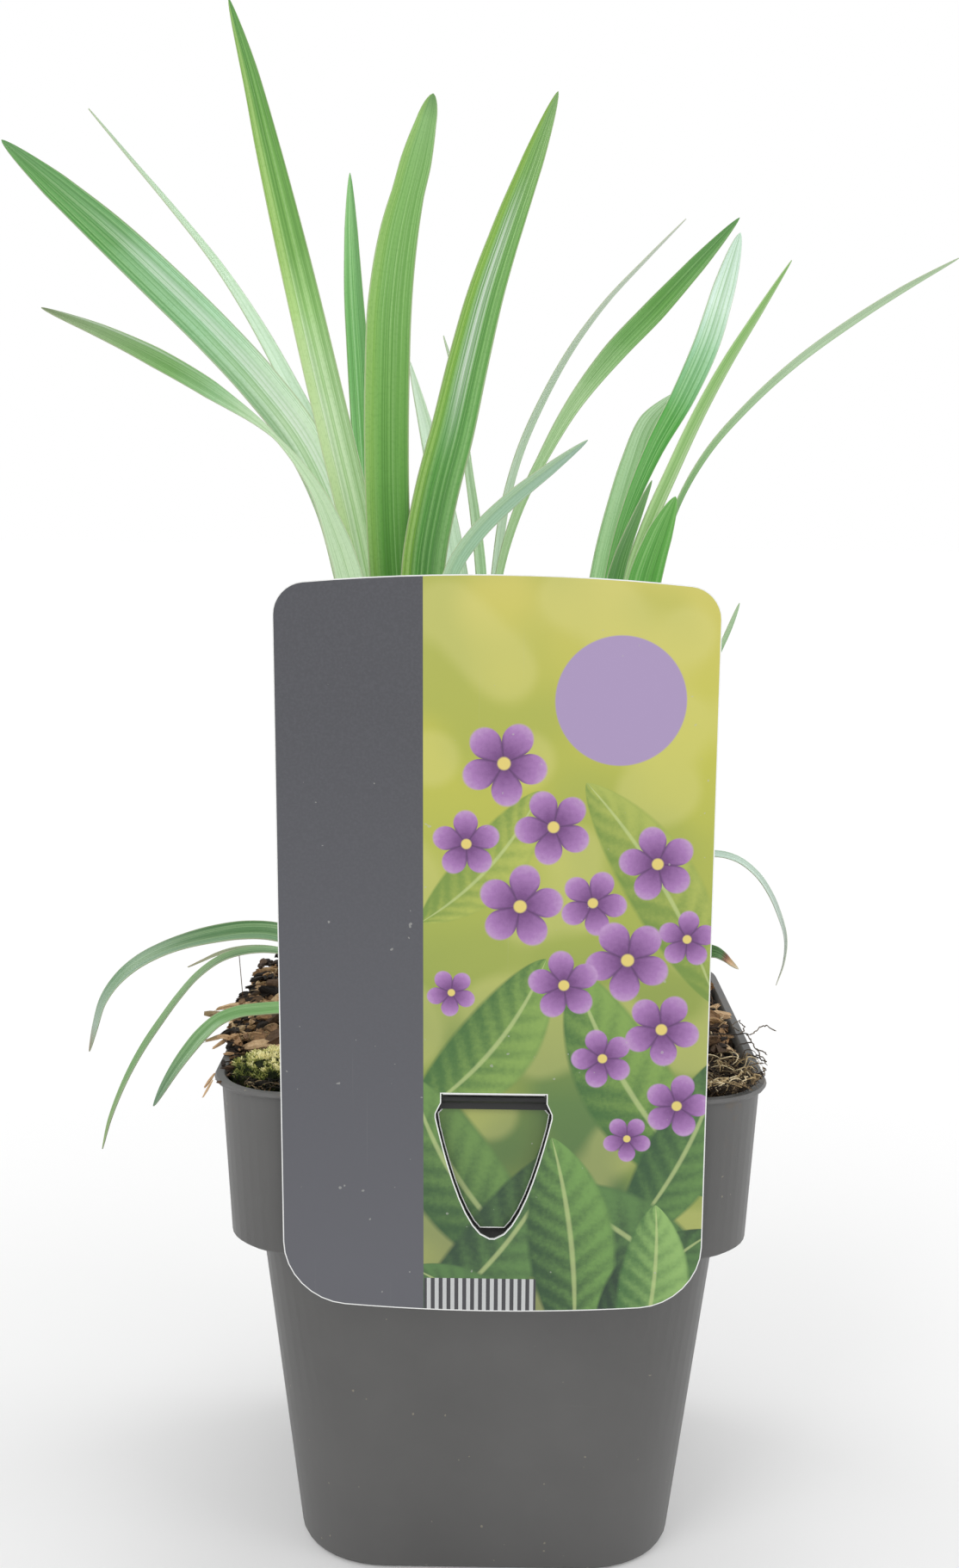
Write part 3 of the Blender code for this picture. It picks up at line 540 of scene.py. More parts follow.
def printed_leaf():
    """A node group: one oval leaf in a print. Gives its mask, its place across, and its place along."""
    group = bpy.data.node_groups.new("PrintedLeaf", "ShaderNodeTree")
    face = group.interface
    for name in ("X", "Z", "Foot X", "Foot Z", "Run X", "Run Z", "Bow", "Half"):
        face.new_socket(name, in_out="INPUT", socket_type="NodeSocketFloat")
    for name in ("Mask", "Across", "Along"):
        face.new_socket(name, in_out="OUTPUT", socket_type="NodeSocketFloat")
    inner = group.nodes.new("NodeGroupInput").outputs
    outer = group.nodes.new("NodeGroupOutput").inputs

    def calc(how, a, b=0.0, clamp=False):
        made = group.nodes.new("ShaderNodeMath")
        made.operation = how
        made.use_clamp = clamp
        for socket, value in zip(made.inputs, (a, b)):
            if isinstance(value, bpy.types.NodeSocket):
                group.links.new(value, socket)
            else:
                socket.default_value = value
        return made.outputs[0]

    run_x, run_z = inner["Run X"], inner["Run Z"]
    px, pz = calc("SUBTRACT", inner["X"], inner["Foot X"]), calc("SUBTRACT", inner["Z"], inner["Foot Z"])
    long = calc("ADD", calc("MULTIPLY", run_x, run_x), calc("MULTIPLY", run_z, run_z))
    along = calc("ADD", calc("MULTIPLY", px, run_x), calc("MULTIPLY", pz, run_z))
    t = calc("DIVIDE", along, long, clamp=True)
    off = calc("SUBTRACT", calc("MULTIPLY", px, run_z), calc("MULTIPLY", pz, run_x))
    off = calc("DIVIDE", off, calc("SQRT", long))
    swell = calc("MULTIPLY", calc("MULTIPLY", t, calc("SUBTRACT", 1.0, t)), 4.0)
    off = calc("SUBTRACT", off, calc("MULTIPLY", swell, inner["Bow"]))
    half = calc("MAXIMUM", calc("MULTIPLY", inner["Half"], calc("POWER", swell, 0.75)), 0.01)
    across = calc("DIVIDE", off, half)
    mask = calc("MULTIPLY", calc("SUBTRACT", 1.0, calc("ABSOLUTE", across)), 9.0, clamp=True)
    mask = calc("MULTIPLY", mask, calc("GREATER_THAN", swell, 0.0))
    for value, name in ((mask, "Mask"), (across, "Across"), (t, "Along")):
        group.links.new(value, outer[name])
    return group


# Each printed leaf in millimetres: foot x and z, run x and z, bow, half width, dark and light colour
PRINTED_LEAVES = [
    (50, 150, -30, 50, 3, 8.5, (120, 150, 60), (178, 190, 88)),
    (-16, 168, 26, 30, 3, 7.0, (124, 154, 62), (186, 196, 90)),
    (52, 104, -34, 54, -4, 11.0, (62, 108, 48), (134, 170, 80)),
    (-18, 122, 30, 38, 4, 9.5, (66, 112, 50), (140, 174, 84)),
    (30, 92, 22, 46, 3, 9.0, (44, 84, 46), (104, 146, 74)),
    (14, 84, -32, 48, -5, 11.0, (48, 88, 46), (112, 152, 76)),
    (54, 72, -44, 34, 4, 10.5, (34, 66, 42), (92, 134, 70)),
    (-18, 70, 34, 44, 4, 10.0, (38, 72, 44), (98, 140, 74)),
    (20, 66, -6, 52, 2, 10.5, (40, 78, 42), (118, 162, 82)),
    (26, 66, 26, 30, -3, 8.5, (30, 60, 38), (84, 126, 66)),
    (8, 62, -26, 24, 3, 8.0, (30, 58, 38), (88, 130, 70)),
    (34, 60, 4, 42, 2, 8.5, (66, 112, 56), (150, 190, 108)),
]
# Each printed blossom in millimetres: centre x and z, reach, turn
PRINTED_BLOSSOMS = [
    (2, 204, 9.5, 0.2), (-6, 186, 7.5, 0.9), (13, 190, 8.5, 0.5), (6, 172, 9.5, 1.1), (22, 173, 7.5, 0.1),
    (36, 182, 8.5, 0.7), (30, 160, 9.5, 0.4), (43, 165, 6.5, 1.0), (16, 154, 8.0, 0.8), (38, 144, 8.5, 0.2),
    (25, 137, 7.0, 0.6), (42, 126, 7.5, 1.2), (31, 118, 5.5, 0.3), (-9, 152, 5.5, 0.4),
]

# The plain parts of the print in millimetres: edge of the band, centre and radius of the disc,
# right edge and top of the stripes, and stripes to a millimetre
BAND_EDGE = -15.3
DISC_X, DISC_Z, DISC_RADIUS = 27.0, 218.0, 14.0
STRIPES_RIGHT, STRIPES_TOP, STRIPES_PER_MM = 10.5, 83.3, 0.55


def soft_field(f, z, flat, lime):
    """Soft light field behind the printed leaves."""
    stops = ((0.0, tone(58, 92, 56)), (0.3, tone(96, 130, 66)), (0.55, tone(170, 182, 78)), (0.8, lime),
             (1.0, tone(214, 206, 104)))
    field = f.ramp(f.remap(z, 76.0, 244.0), stops)
    glow = f.noise(flat, 0.030, 1.0, 0.4)
    field = f.mix(f.remap(glow, 0.44, 0.62, 0.0, 0.65, True), field, tone(166, 178, 78))
    spots = f.node("ShaderNodeTexVoronoi", flat, voronoi_dimensions="2D", feature="SMOOTH_F1")
    spots.inputs["Scale"].default_value = 0.055
    spot = f.remap(spots.outputs["Distance"], 0.42, 0.25, 0.0, 0.30, True)
    return f.mix(spot, field, tone(226, 222, 140))


def print_leaves(f, x, z, fibre, field):
    """Oval leaves over the field, each shaded across, along and between its side veins."""
    group = printed_leaf()
    for *shape, dark, light in PRINTED_LEAVES:
        leaf = f.tree.nodes.new("ShaderNodeGroup")
        leaf.node_tree = group
        for socket, value in zip(leaf.inputs, (x, z, *shape)):
            f.put(socket, float(value) if isinstance(value, int) else value)
        across, along = leaf.outputs["Across"], leaf.outputs["Along"]
        reach = f.math("ABSOLUTE", across)
        side_vein = f.math("SINE", f.minus(f.times(along, 62.0), f.times(reach, 9.0)))
        shade = f.plus(f.times(across, 0.30), f.times(side_vein, 0.10))
        shade = f.plus(f.plus(shade, f.times(along, 0.35)), f.times(fibre, 0.45))
        body = f.mix(f.remap(shade, -0.05, 0.85, 0.0, 1.0, True), tone(*dark), tone(*light))
        body = f.mix(f.remap(reach, 0.075, 0.03, 0.0, 0.55), body, tone(206, 220, 150))
        body = f.mix(f.remap(reach, 0.80, 1.0, 0.0, 0.35), body, tone(*dark))
        field = f.mix(leaf.outputs["Mask"], field, body)
    return field


def print_blossoms(f, x, z, fibre, field):
    """Five-petalled blossoms over the leaves."""
    stops = ((0.0, tone(84, 44, 96)), (0.3, tone(126, 76, 140)), (0.75, tone(172, 122, 186)),
             (1.0, tone(198, 158, 208)))
    for cx, cz, size, turn in PRINTED_BLOSSOMS:
        dx, dz = f.minus(x, float(cx)), f.minus(z, float(cz))
        reach = f.math("DIVIDE", f.distance(dx, dz), size)
        angle = f.plus(f.math("ARCTAN2", dz, dx), turn)
        lobe = f.math("ABSOLUTE", f.math("COSINE", f.times(angle, 2.5)))
        edge = f.plus(f.times(f.math("POWER", lobe, 0.6), 0.52), 0.48)
        petal = f.ramp(f.plus(reach, f.times(f.minus(fibre, 0.5), 0.3)), stops)
        petal = f.mix(f.remap(lobe, 0.35, 0.0, 0.0, 0.7), petal, tone(74, 38, 88))
        petal = f.mix(f.remap(reach, 0.17, 0.13), petal, tone(236, 214, 120))
        field = f.mix(f.remap(f.math("DIVIDE", reach, edge), 1.03, 0.97), field, petal)
    return field


def label_finish(slate, lime, lilac):
    """The print: a plain band down the left side, a leaf and blossom pattern, a disc and stripes."""
    f = Finish("label_print_finish", 0.36, 0.5, coat=0.12, coat_roughness=0.25)
    place = f.coords.outputs["Object"]
    parts = f.split(place)
    x, z = f.times(parts[0], 1000.0), f.times(parts[2], 1000.0)
    flat = f.node("ShaderNodeCombineXYZ", x, z, 0.0).outputs[0]
    fibre = f.noise(flat, 0.9, 3.0, 0.6)
    field = soft_field(f, z, flat, lime)
    field = print_leaves(f, x, z, fibre, field)
    field = print_blossoms(f, x, z, fibre, field)
    # The band's edge leans a little
    lean = f.plus(x, f.times(f.minus(z, 160.0), 0.006))
    weave = f.noise(place, 1700.0, 2.0, 0.6)
    band = f.mix(f.remap(weave, 0.4, 0.7), slate, tuple(c * 1.2 for c in slate))
    band = f.mix(f.remap(z, 215.0, 85.0), band, tuple(c * 1.62 for c in slate))
    ink = f.mix(f.remap(lean, BAND_EDGE + 0.05, BAND_EDGE - 0.05), field, band)
    reach = f.distance(f.minus(x, DISC_X), f.minus(z, DISC_Z))
    ink = f.mix(f.remap(reach, DISC_RADIUS + 0.3, DISC_RADIUS), ink, lilac)
    stripes = f.math("GREATER_THAN", f.math("FRACT", f.times(lean, STRIPES_PER_MM)), 0.5)
    patch = f.times(f.remap(lean, BAND_EDGE + 0.1, BAND_EDGE + 0.2),
                    f.remap(lean, STRIPES_RIGHT + 0.1, STRIPES_RIGHT))
    patch = f.times(patch, f.remap(z, STRIPES_TOP + 0.1, STRIPES_TOP))
    ink = f.mix(patch, ink, f.mix(stripes, tone(206, 208, 208), tone(66, 66, 70)))
    dust = f.noise(place, 640.0, 1.0, 0.4)
    ink = f.mix(f.remap(dust, 0.785, 0.80, 0.0, 0.45), ink, tone(190, 190, 184))
    # Faint scratches down the sheet
    scratch = f.noise(f.scaled(flat, 2.4, 0.02), 1.0, 1.0, 0.5)
    ink = f.mix(f.remap(scratch, 0.76, 0.82, 0.0, 0.10), ink, tone(200, 200, 200))
    return f.done(ink, f.remap(weave, 0.3, 0.7, 0.3, 0.42), f.bump(weave, 0.05, 0.0001))


def card_finish():
    """The bare white card at the label's back and cut edge."""
    f = Finish("label_card_finish", 0.5, 0.5)
    grain = f.noise(f.coords.outputs["Object"], 900.0, 3.0)
    return f.done(f.mix(grain, (0.74, 0.75, 0.74), (0.86, 0.86, 0.85)), None, f.bump(grain, 0.05, 0.0001))


def mottled(name, stops, scale, roughness=0.9, bump=0.5, depth=0.0004, stretch=(1, 1, 1)):
    """An earthy finish: a noise ramp with a second, coarser drift and a rough surface."""
    f = Finish(name + "_finish", roughness, 0.3)
    place = f.scaled(f.coords.outputs["Object"], *stretch)
    fine = f.noise(place, scale, 5.0, 0.62)
    wide = f.noise(f.coords.outputs["Object"], scale * 0.18, 3.0, 0.55)
    colour = f.ramp(f.plus(f.times(fine, 0.55), f.times(wide, 0.5)), stops)
    return f.done(colour, f.remap(fine, 0.3, 0.7, roughness - 0.12, min(1.0, roughness + 0.08)),
                  f.bump(fine, bump, depth))


def tinted(name, stops, roughness=0.9, scale=600.0, bump=0.5, depth=0.0003):
    """A finish whose base colour follows the piece's own tint, one value for each chip or fibre."""
    f = Finish(name + "_finish", roughness, 0.3)
    tint = f.node("ShaderNodeAttribute", attribute_name="tint").outputs["Fac"]
    fine = f.noise(f.coords.outputs["Object"], scale, 4.0, 0.6)
    colour = f.ramp(f.plus(tint, f.times(f.minus(fine, 0.5), 0.35)), stops)
    return f.done(colour, None, f.bump(fine, bump, depth))


# Leaves

def rows_from(tip, near):
    """A blade's points in rows, each one edge further from the tip."""
    seen, rows = {tip}, [[tip]]
    while rows[-1]:
        row = []
        for v in rows[-1]:
            for w in near[v]:
                if w not in seen:
                    seen.add(w)
                    row.append(w)
        rows.append(row)
    return rows[:-1]


def levels_of(node):
    """The points of a plain blade in rows of four from root to tip. The last row is the tip alone."""
    bm = bmesh.new()
    bm.from_mesh(node.data)
    bmesh.ops.remove_doubles(bm, verts=bm.verts, dist=1e-6)
    near = {v: [e.other_vert(v) for e in v.link_edges] for v in bm.verts}
    levels = None
    for tip in bm.verts:
        rows = rows_from(tip, near)
        if len(rows) > 8 and all(len(row) == 4 for row in rows[1:]):
            levels = [[v.co.copy() for v in row] for row in reversed(rows)]
            break
    bm.free()
    if levels is None:
        raise RuntimeError(f"{node.name} can't be read as a blade")
    return levels


def rings_of(node):
    """Read a plain blade back as rings from root to tip: centre, side, face, half width and fold."""
    levels = levels_of(node)
    centres, chords, mids = [], [], []
    for row in levels[:-1]:
        pairs = [(a, b) for i, a in enumerate(row) for b in row[i + 1:]]
        edge = max(pairs, key=lambda pair: (pair[0] - pair[1]).length)
        inner = [p for p in row if p not in edge]
        centres.append((edge[0] + edge[1]) / 2)
        chords.append(edge[1] - edge[0])
        mids.append((inner[0] + inner[1]) / 2)
    centres.append(levels[-1][0])
    out = []
    for k, (chord, mid) in enumerate(zip(chords, mids)):
        run = (centres[k + 1] - centres[max(k - 1, 0)]).normalized()
        dip = centres[k] - mid
        face = (dip - run * dip.dot(run)).normalized()
        if chord.dot(run.cross(face)) < 0:
            chord = -chord
        side = chord.normalized()
        out.append((centres[k], side, side.cross(run).normalized(), chord.length / 2, dip.length))
    return out, centres[-1]


def smooth(values, t):
    """Catmull-Rom through evenly spaced values at t from 0 to 1."""
    n = len(values) - 1
    k = min(int(t * n), n - 1)
    f = t * n - k
    a = values[k - 1] if k > 0 else values[0] * 2 - values[1]
    b, c = values[k], values[k + 1]
    d = values[k + 2] if k + 2 <= n else values[n] * 2 - values[n - 1]
    square = a * 2 - b * 5 + c * 4 - d
    cube = b * 3 - c * 3 + d - a
    return (b * 2 + (c - a) * f + square * f * f + cube * f ** 3) * 0.5


class Blade:
    """A plain blade's line, sides and widths, as its look changes them, from root (0) to tip (1)."""

    THINNEST = 0.00006

    def __init__(self, node, look):
        rings, tip = rings_of(NODES[node])
        self.look = look
        self.last = (len(rings) - 1) / len(rings)
        self.centres = [r[0] for r in rings] + [tip]
        self.sides = [r[1] for r in rings] + [rings[-1][1]]
        self.faces = [r[2] for r in rings] + [rings[-1][2]]
        self.halves = [r[3] for r in rings]
        self.folds = [r[4] for r in rings] + [0.0]

    def half(self, s):
        if s < self.last:
            plain = smooth(self.halves, s / self.last)
        else:
            plain = self.halves[-1] * max(0.0, (1.0 - s) / (1.0 - self.last)) ** 0.62
        return max(plain * self.look.width(s), self.THINNEST)

    def centre(self, s):
        centre = smooth(self.centres, s)
        if self.look.nudge:
            *shift, place, reach = self.look.nudge
            centre = centre + Vector(shift) * math.exp(-((s - place) / reach * 2.2) ** 2)
        return centre

    def fold(self, s):
        return smooth(self.folds, s) * self.look.fold * min(1.0, self.look.width(s))

    def at(self, s):
        side, face = smooth(self.sides, s).normalized(), smooth(self.faces, s).normalized()
        return s, self.centre(s), side, face, self.half(s), self.fold(s)


def build_leaf(node, settings):
    """Bend a flat grid along the plain blade: a channel, long ridges, a keel and wavy edges."""
    look = LEAF_LOOKS.get(node, PALE)
    blade = Blade(node, look)
    phase = random.Random(node).random() * math.tau
    select_only()
    bpy.ops.mesh.primitive_grid_add(x_subdivisions=settings.across, y_subdivisions=settings.along,
                                    size=1.0, calc_uvs=True)
    leaf = bpy.context.object
    rows = {}
    for vert in leaf.data.vertices:
        u, row = vert.co.x * 2, round(vert.co.y, 5)
        if row not in rows:
            # Rows crowd towards the tip, so that it stays round
            rows[row] = blade.at(1.0 - (1.0 - min(1.0, max(0.0, row + 0.5))) ** 1.3)
        s, centre, side, face, half, fold = rows[row]
        # Ridges and waves fade where the blade is less than 3 mm to each side
        broad = min(1.0, half / 0.003)
        dish = -fold * (1.0 - math.sqrt(u * u * 0.985 + 0.015) ** 1.1)
        ridge = settings.ridge * math.cos(u * math.pi * 6.0) * broad * (1.0 - s ** 6)
        keel = -settings.ridge * 3.0 * math.exp(-(u * 8.0) ** 2) * broad
        wave = 0.00016 * math.sin(s * 21 + phase + (1.5 if u > 0 else 0.0)) * abs(u) ** 3 * broad
        vert.co = centre + side * (half * u) + face * (dish + ridge + keel + wave)
    solid = leaf.modifiers.new("Blade", "SOLIDIFY")
    solid.thickness = settings.thickness
    solid.offset = 0.0
    apply_modifiers(leaf)
    bpy.ops.object.shade_smooth()
    finish = leaf_finish(node, look, max(blade.halves))
    keep(leaf, node.replace("leaf_", "blade_"), finish, slot_of(node), node)


def slot_of(node):
    for row in frame["record"]["subparts"]:
        if row["node"] == node:
            return row["material_slot"]
    raise RuntimeError(f"{node} has no material slot")


class LILYTURF_OT_leaves(Operator):
    """Turn each plain blade into a folded, veined leaf"""
    bl_idname = "lilyturf.leaves"
    bl_label = "Grow the leaves"

    def execute(self, context):
        for node in LEAF_NODES:
            build_leaf(node, context.scene.lilyturf_leaf)
        return {"FINISHED"}


class LILYTURF_OT_pot(Operator):
    """Finish the pot in scuffed black plastic"""
    bl_idname = "lilyturf.pot"
    bl_label = "Finish the pot"

    def execute(self, context):
        settings = context.scene.lilyturf_pot
        moulding = welded_copy("pot", "pot_moulding")
        select_only(moulding)
        bpy.ops.object.shade_smooth_by_angle(angle=math.radians(32))
        finish = plastic_finish(tuple(settings.plastic), settings.roughness)
        keep(moulding, "pot_moulding", finish, "pot_plastic", "pot")
        return {"FINISHED"}


class LILYTURF_OT_label(Operator):
    """Print the hang label with a plain band and a soft leaf pattern"""
    bl_idname = "lilyturf.label"
    bl_label = "Print the label"

    def execute(self, context):
        settings = context.scene.lilyturf_label
        card = card_finish()
        sheet = welded_copy("hang_label", "label_sheet")
        # The die leaves a bright edge all round the front of the sheet and the tongue
        for poly in sheet.data.polygons:
            poly.select = poly.normal.y < -0.93
        for part in (*sheet.data.vertices, *sheet.data.edges):
            part.select = False
        bpy.ops.object.mode_set(mode="EDIT")
        bpy.ops.mesh.select_mode(type="FACE")
        bpy.ops.mesh.inset(thickness=settings.cut_edge, depth=0.0, use_even_offset=True)
        bpy.ops.object.mode_set(mode="OBJECT")
        printed = {poly.index for poly in sheet.data.polygons if poly.select}
        print_finish = label_finish(tuple(settings.slate), tuple(settings.lime), tuple(settings.lilac))
        keep(sheet, "label_sheet", print_finish, "label_sheet", "hang_label")
        sheet.data.materials.append(card)
        for poly in sheet.data.polygons:
            poly.material_index = 0 if poly.index in printed else 1
        return {"FINISHED"}


# Potting mix, bark and fibre

def collect(name, parts):
    """One mesh from many placed copies. Each copy carries its own tint."""
    verts, faces, tints = [], [], []
    shapes = {}
    for shape, matrix, tint in parts:
        if shape not in shapes:
            polys = [tuple(p.vertices) for p in shape.polygons]
            shapes[shape] = ([v.co.copy() for v in shape.vertices], polys)
        points, polys = shapes[shape]
        start = len(verts)
        verts.extend(matrix @ p for p in points)
        faces.extend(tuple(start + i for i in poly) for poly in polys)
        tints.extend([tint] * len(polys))
    mesh = bpy.data.meshes.new(name)
    mesh.from_pydata(verts, [], faces)
    mesh.attributes.new("tint", "FLOAT", "FACE").data.foreach_set("value", tints)
    obj = bpy.data.objects.new(name, mesh)
    bpy.context.collection.objects.link(obj)
    return obj


def chip_shapes(count):
    """Splintered bark: a flat block, cut up and roughened, modelled a few times over."""
    shapes = []
    for k in range(count):
        rand = random.Random(100 + k)
        select_only()
        bpy.ops.mesh.primitive_cube_add(size=1.0)
        block = bpy.context.object
        bpy.ops.object.mode_set(mode="EDIT")
        bpy.ops.mesh.subdivide(number_cuts=2)
        bpy.ops.object.mode_set(mode="OBJECT")
        curl = rand.uniform(-0.35, 0.45)
        for vert in block.data.vertices:
            p = vert.co
            end = abs(p.x * 2) ** 2.2
            jag = noise.noise_vector(p * 2.6 + Vector((k * 3.1, 0, 0)))
            p.y *= (1.0 - 0.5 * end) * (1.0 - 0.3 * abs(p.z * 2))
            p.z = p.z * (1.0 - 0.4 * end) + curl * (p.y * 2) ** 2 + 0.18 * math.sin(p.x * 3 + k)
            p.x += jag.x * 0.20 + (0.14 * rand.random() if abs(p.x) > 0.45 else 0.0) * (1 if p.x > 0 else -1)
            p.y += jag.y * 0.16
            p.z += jag.z * 0.20
        shapes.append(block.data)
        bpy.data.objects.remove(block)
    return shapes


def pile(x, y):
    """How far the litter is heaped above the plain potting mix at x, y."""
    def ease(value, low, high):
        t = min(1.0, max(0.0, (value - low) / (high - low)))
        return t * t * (3 - 2 * t)
    left = ease(-x, 0.040, 0.057) * (0.0046 + 0.0016 * ease(y, 0.0, 0.045)) * ease(y, -0.040, -0.022)
    right = ease(x, 0.040, 0.057) * (0.0042 + 0.0016 * ease(y, 0.0, 0.045)) * ease(y, -0.045, -0.020)
    back = ease(y, 0.038, 0.058) * 0.0042
    front = ease(-y, 0.045, 0.060) * 0.0022
    return max(left, right, back, front) + 0.0006 * noise.noise(Vector((x * 140, y * 140, 3.0)))


def inside_pot(x, y, room=0.0):
    """Whether x, y is over the potting mix, at least room from the pot's wall."""
    edge = MIX_HALF - room
    pocket = abs(x - POCKET_X) < POCKET_HALF + room and y < POCKET_BACK + room
    if max(abs(x), abs(y)) > edge or pocket:
        return False
    past_x, past_y = max(0.0, abs(x) - edge + MIX_CORNER), max(0.0, abs(y) - edge + MIX_CORNER)
    return math.hypot(past_x, past_y) <= MIX_CORNER


def strands(name, paths, depth, stops, seed):
    """Round fibres along paths of (place, thickness). Each one has its own tint."""
    curve = bpy.data.curves.new(name, "CURVE")
    curve.dimensions = "3D"
    curve.bevel_depth = depth
    curve.bevel_resolution = 0
    curve.use_fill_caps = True
    for path in paths:
        spline = curve.splines.new("POLY")
        spline.points.add(len(path) - 1)
        for point, (place, thick) in zip(spline.points, path):
            point.co = (*place, 1.0)
            point.radius = thick
    obj = bpy.data.objects.new(name, curve)
    bpy.context.collection.objects.link(obj)
    select_only(obj)
    bpy.ops.object.convert(target="MESH")
    obj = bpy.context.object
    mesh = obj.data
    owner = list(range(len(mesh.vertices)))

    def root(i):
        while owner[i] != i:
            owner[i] = owner[owner[i]]
            i = owner[i]
        return i
    for edge in mesh.edges:
        a, b = root(edge.vertices[0]), root(edge.vertices[1])
        if a != b:
            owner[b] = a
    rand, shade = random.Random(seed), {}
    tint = mesh.attributes.new("tint", "FLOAT", "FACE")
    for poly in mesh.polygons:
        key = root(poly.vertices[0])
        if key not in shade:
            shade[key] = rand.random()
        tint.data[poly.index].value = shade[key]
    return keep(obj, name, tinted(name, stops, 0.85, 1200.0), "straw_tan")


def wander(rand, x, y, length, height, bend=0.9, rise=0.002, steps=9, limit=0.0605):
    """A fibre that lies over the litter in a loose curve, no further than limit from the middle."""
    heading, turn = rand.random() * math.tau, rand.gauss(0, bend) / steps
    path, lift = [], rand.uniform(0.0002, 0.0016)
    for k in range(steps):
        t = k / (steps - 1)
        for _ in range(20):
            if inside_pot(x, y, MIX_HALF - limit):
                break
            x, y = x * 0.985, y * 0.985
        z = height(x, y) + lift + rise * math.sin(t * math.pi)
        path.append(((x, y, z), 0.45 + 0.75 * math.sin(math.pi * min(1.0, t + 0.12))))
        x += math.cos(heading) * length / steps
        y += math.sin(heading) * length / steps
        heading += turn + rand.gauss(0, 0.32)
    return path


# Large bark pieces in millimetres: place x and y, length, turn in degrees, tint
BARK_PIECES = (
    (52, -14, 10, 120, 0.70), (54, -3, 9, 100, 0.97), (54, 8, 10, 60, 0.55), (56, 16, 8, 100, 0.88),
    (52, -23, 9, 160, 0.50), (57, 28, 9, 70, 0.70), (56, 40, 8, 110, 0.92), (49, -18, 10, 60, 0.65),
    (-56, -14, 9, 20, 0.40), (-55, -4, 8, 100, 0.78), (-57, 8, 7, 60, 0.95), (-55, 18, 9, 10, 0.30),
    (-57, 30, 7, 80, 0.90), (-55, 40, 7, 30, 0.66), (-56, 50, 7, 60, 0.97), (-52, -24, 10, 60, 0.45),
    (-57, -27, 8, 100, 0.62), (-50, -10, 9, 130, 0.55), (-49, 6, 8, 45, 0.85), (-50, 28, 8, 100, 0.72),
    (-47, 48, 9, 60, 0.85),
)
# Flakes that hang over the rim: place x, y and z and length in millimetres, turn, droop, tint
RIM_FLAKES = (
    (-67.0, -24, 128.2, 6.5, 20, 12, 0.93), (-66.0, -27, 128.0, 5.5, 35, 25, 0.85),
    (-66.5, 0, 129.3, 9, 25, 5, 0.96), (-65.2, -57, 125.6, 3.6, 10, 60, 0.90),
    (-65.0, -55, 127.0, 3.6, 60, 30, 0.80),
)
# The bends of each rootlet over the right rim, in millimetres
RIM_ROOTLETS = (
    ((48, -24, 130.2), (56, -20, 129.4), (62, -17.5, 128.8), (65.5, -16.5, 128.2)),
    ((65.5, -16.5, 128.2), (67.2, -14, 128.4), (69.2, -10.4, 128.6), (70.6, -11.5, 129.2),
     (72.5, -14, 128.6)),
    ((64.8, -16.8, 128.3), (65.0, -22, 128.1), (65.3, -27.0, 127.9), (66.4, -33, 127.4),
     (66.6, -38.5, 127.2)),
    ((65.3, -27.0, 127.9), (67.0, -29.0, 127.7), (67.6, -31.5, 127.6)),
    ((63.0, -17.0, 128.6), (64.6, -13.0, 129.4), (63.4, -10.2, 130.0), (61.4, -12.0, 129.4),
     (63.0, -15.0, 128.8)),
    ((60.0, -30.0, 129.0), (62.5, -27.0, 129.4), (65.0, -24.0, 128.6)),
    ((66.6, -36.0, 127.4), (65.0, -37.0, 128.2), (62.0, -35.0, 128.6)),
)
# Colours of earth, bark and fibre from dark to light, each with its place on the ramp
PEAT = ((0.0, (0.004, 0.003, 0.002)), (0.48, (0.016, 0.010, 0.006)), (0.68, (0.075, 0.045, 0.025)),
        (1.0, (0.20, 0.13, 0.07)))
BARK = ((0.0, (0.007, 0.005, 0.004)), (0.25, (0.026, 0.016, 0.011)), (0.5, (0.115, 0.066, 0.036)),
        (0.75, (0.38, 0.22, 0.105)), (1.0, (0.72, 0.52, 0.31)))
SLIVER = ((0.0, (0.09, 0.06, 0.03)), (0.5, (0.30, 0.22, 0.11)), (1.0, (0.60, 0.50, 0.30)))
STRAW = ((0.0, (0.050, 0.030, 0.018)), (0.35, (0.17, 0.105, 0.055)), (0.7, (0.40, 0.29, 0.16)),
         (1.0, (0.58, 0.47, 0.30)))
STRAW_MAT = ((0.0, (0.004, 0.003, 0.002)), (0.55, (0.020, 0.013, 0.008)), (0.8, (0.10, 0.065, 0.035)),
             (1.0, (0.36, 0.27, 0.15)))
BRIGHT_STRAW = ((0.0, (0.10, 0.065, 0.035)), (0.5, (0.42, 0.31, 0.16)), (1.0, (0.86, 0.74, 0.50)))
ROOT_BROWN = ((0.0, (0.006, 0.004, 0.003)), (0.6, (0.035, 0.022, 0.013)), (1.0, (0.26, 0.18, 0.10)))
ROOT_IN_PAINTED_SHADE = ((0.0, (0.004, 0.004, 0.003)), (0.7, (0.020, 0.014, 0.009)), (1.0, (0.26, 0.19, 0.10)))
ROOT_GREY = ((0.0, (0.020, 0.016, 0.013)), (0.6, (0.075, 0.058, 0.045)), (1.0, (0.20, 0.16, 0.12)))
MOSS_HEART = ((0.0, (0.003, 0.004, 0.002)), (0.5, (0.012, 0.018, 0.005)), (0.8, (0.05, 0.06, 0.012)),
              (1.0, (0.12, 0.13, 0.03)))
MOSS = ((0.0, (0.004, 0.008, 0.003)), (0.32, (0.022, 0.036, 0.008)), (0.55, (0.13, 0.16, 0.035)),
        (0.78, (0.48, 0.48, 0.14)), (1.0, (0.88, 0.82, 0.45)))
CROWN = ((0.0, (0.05, 0.035, 0.02)), (0.4, (0.17, 0.12, 0.06)), (0.7, (0.30, 0.26, 0.12)),
         (1.0, (0.42, 0.40, 0.22)))
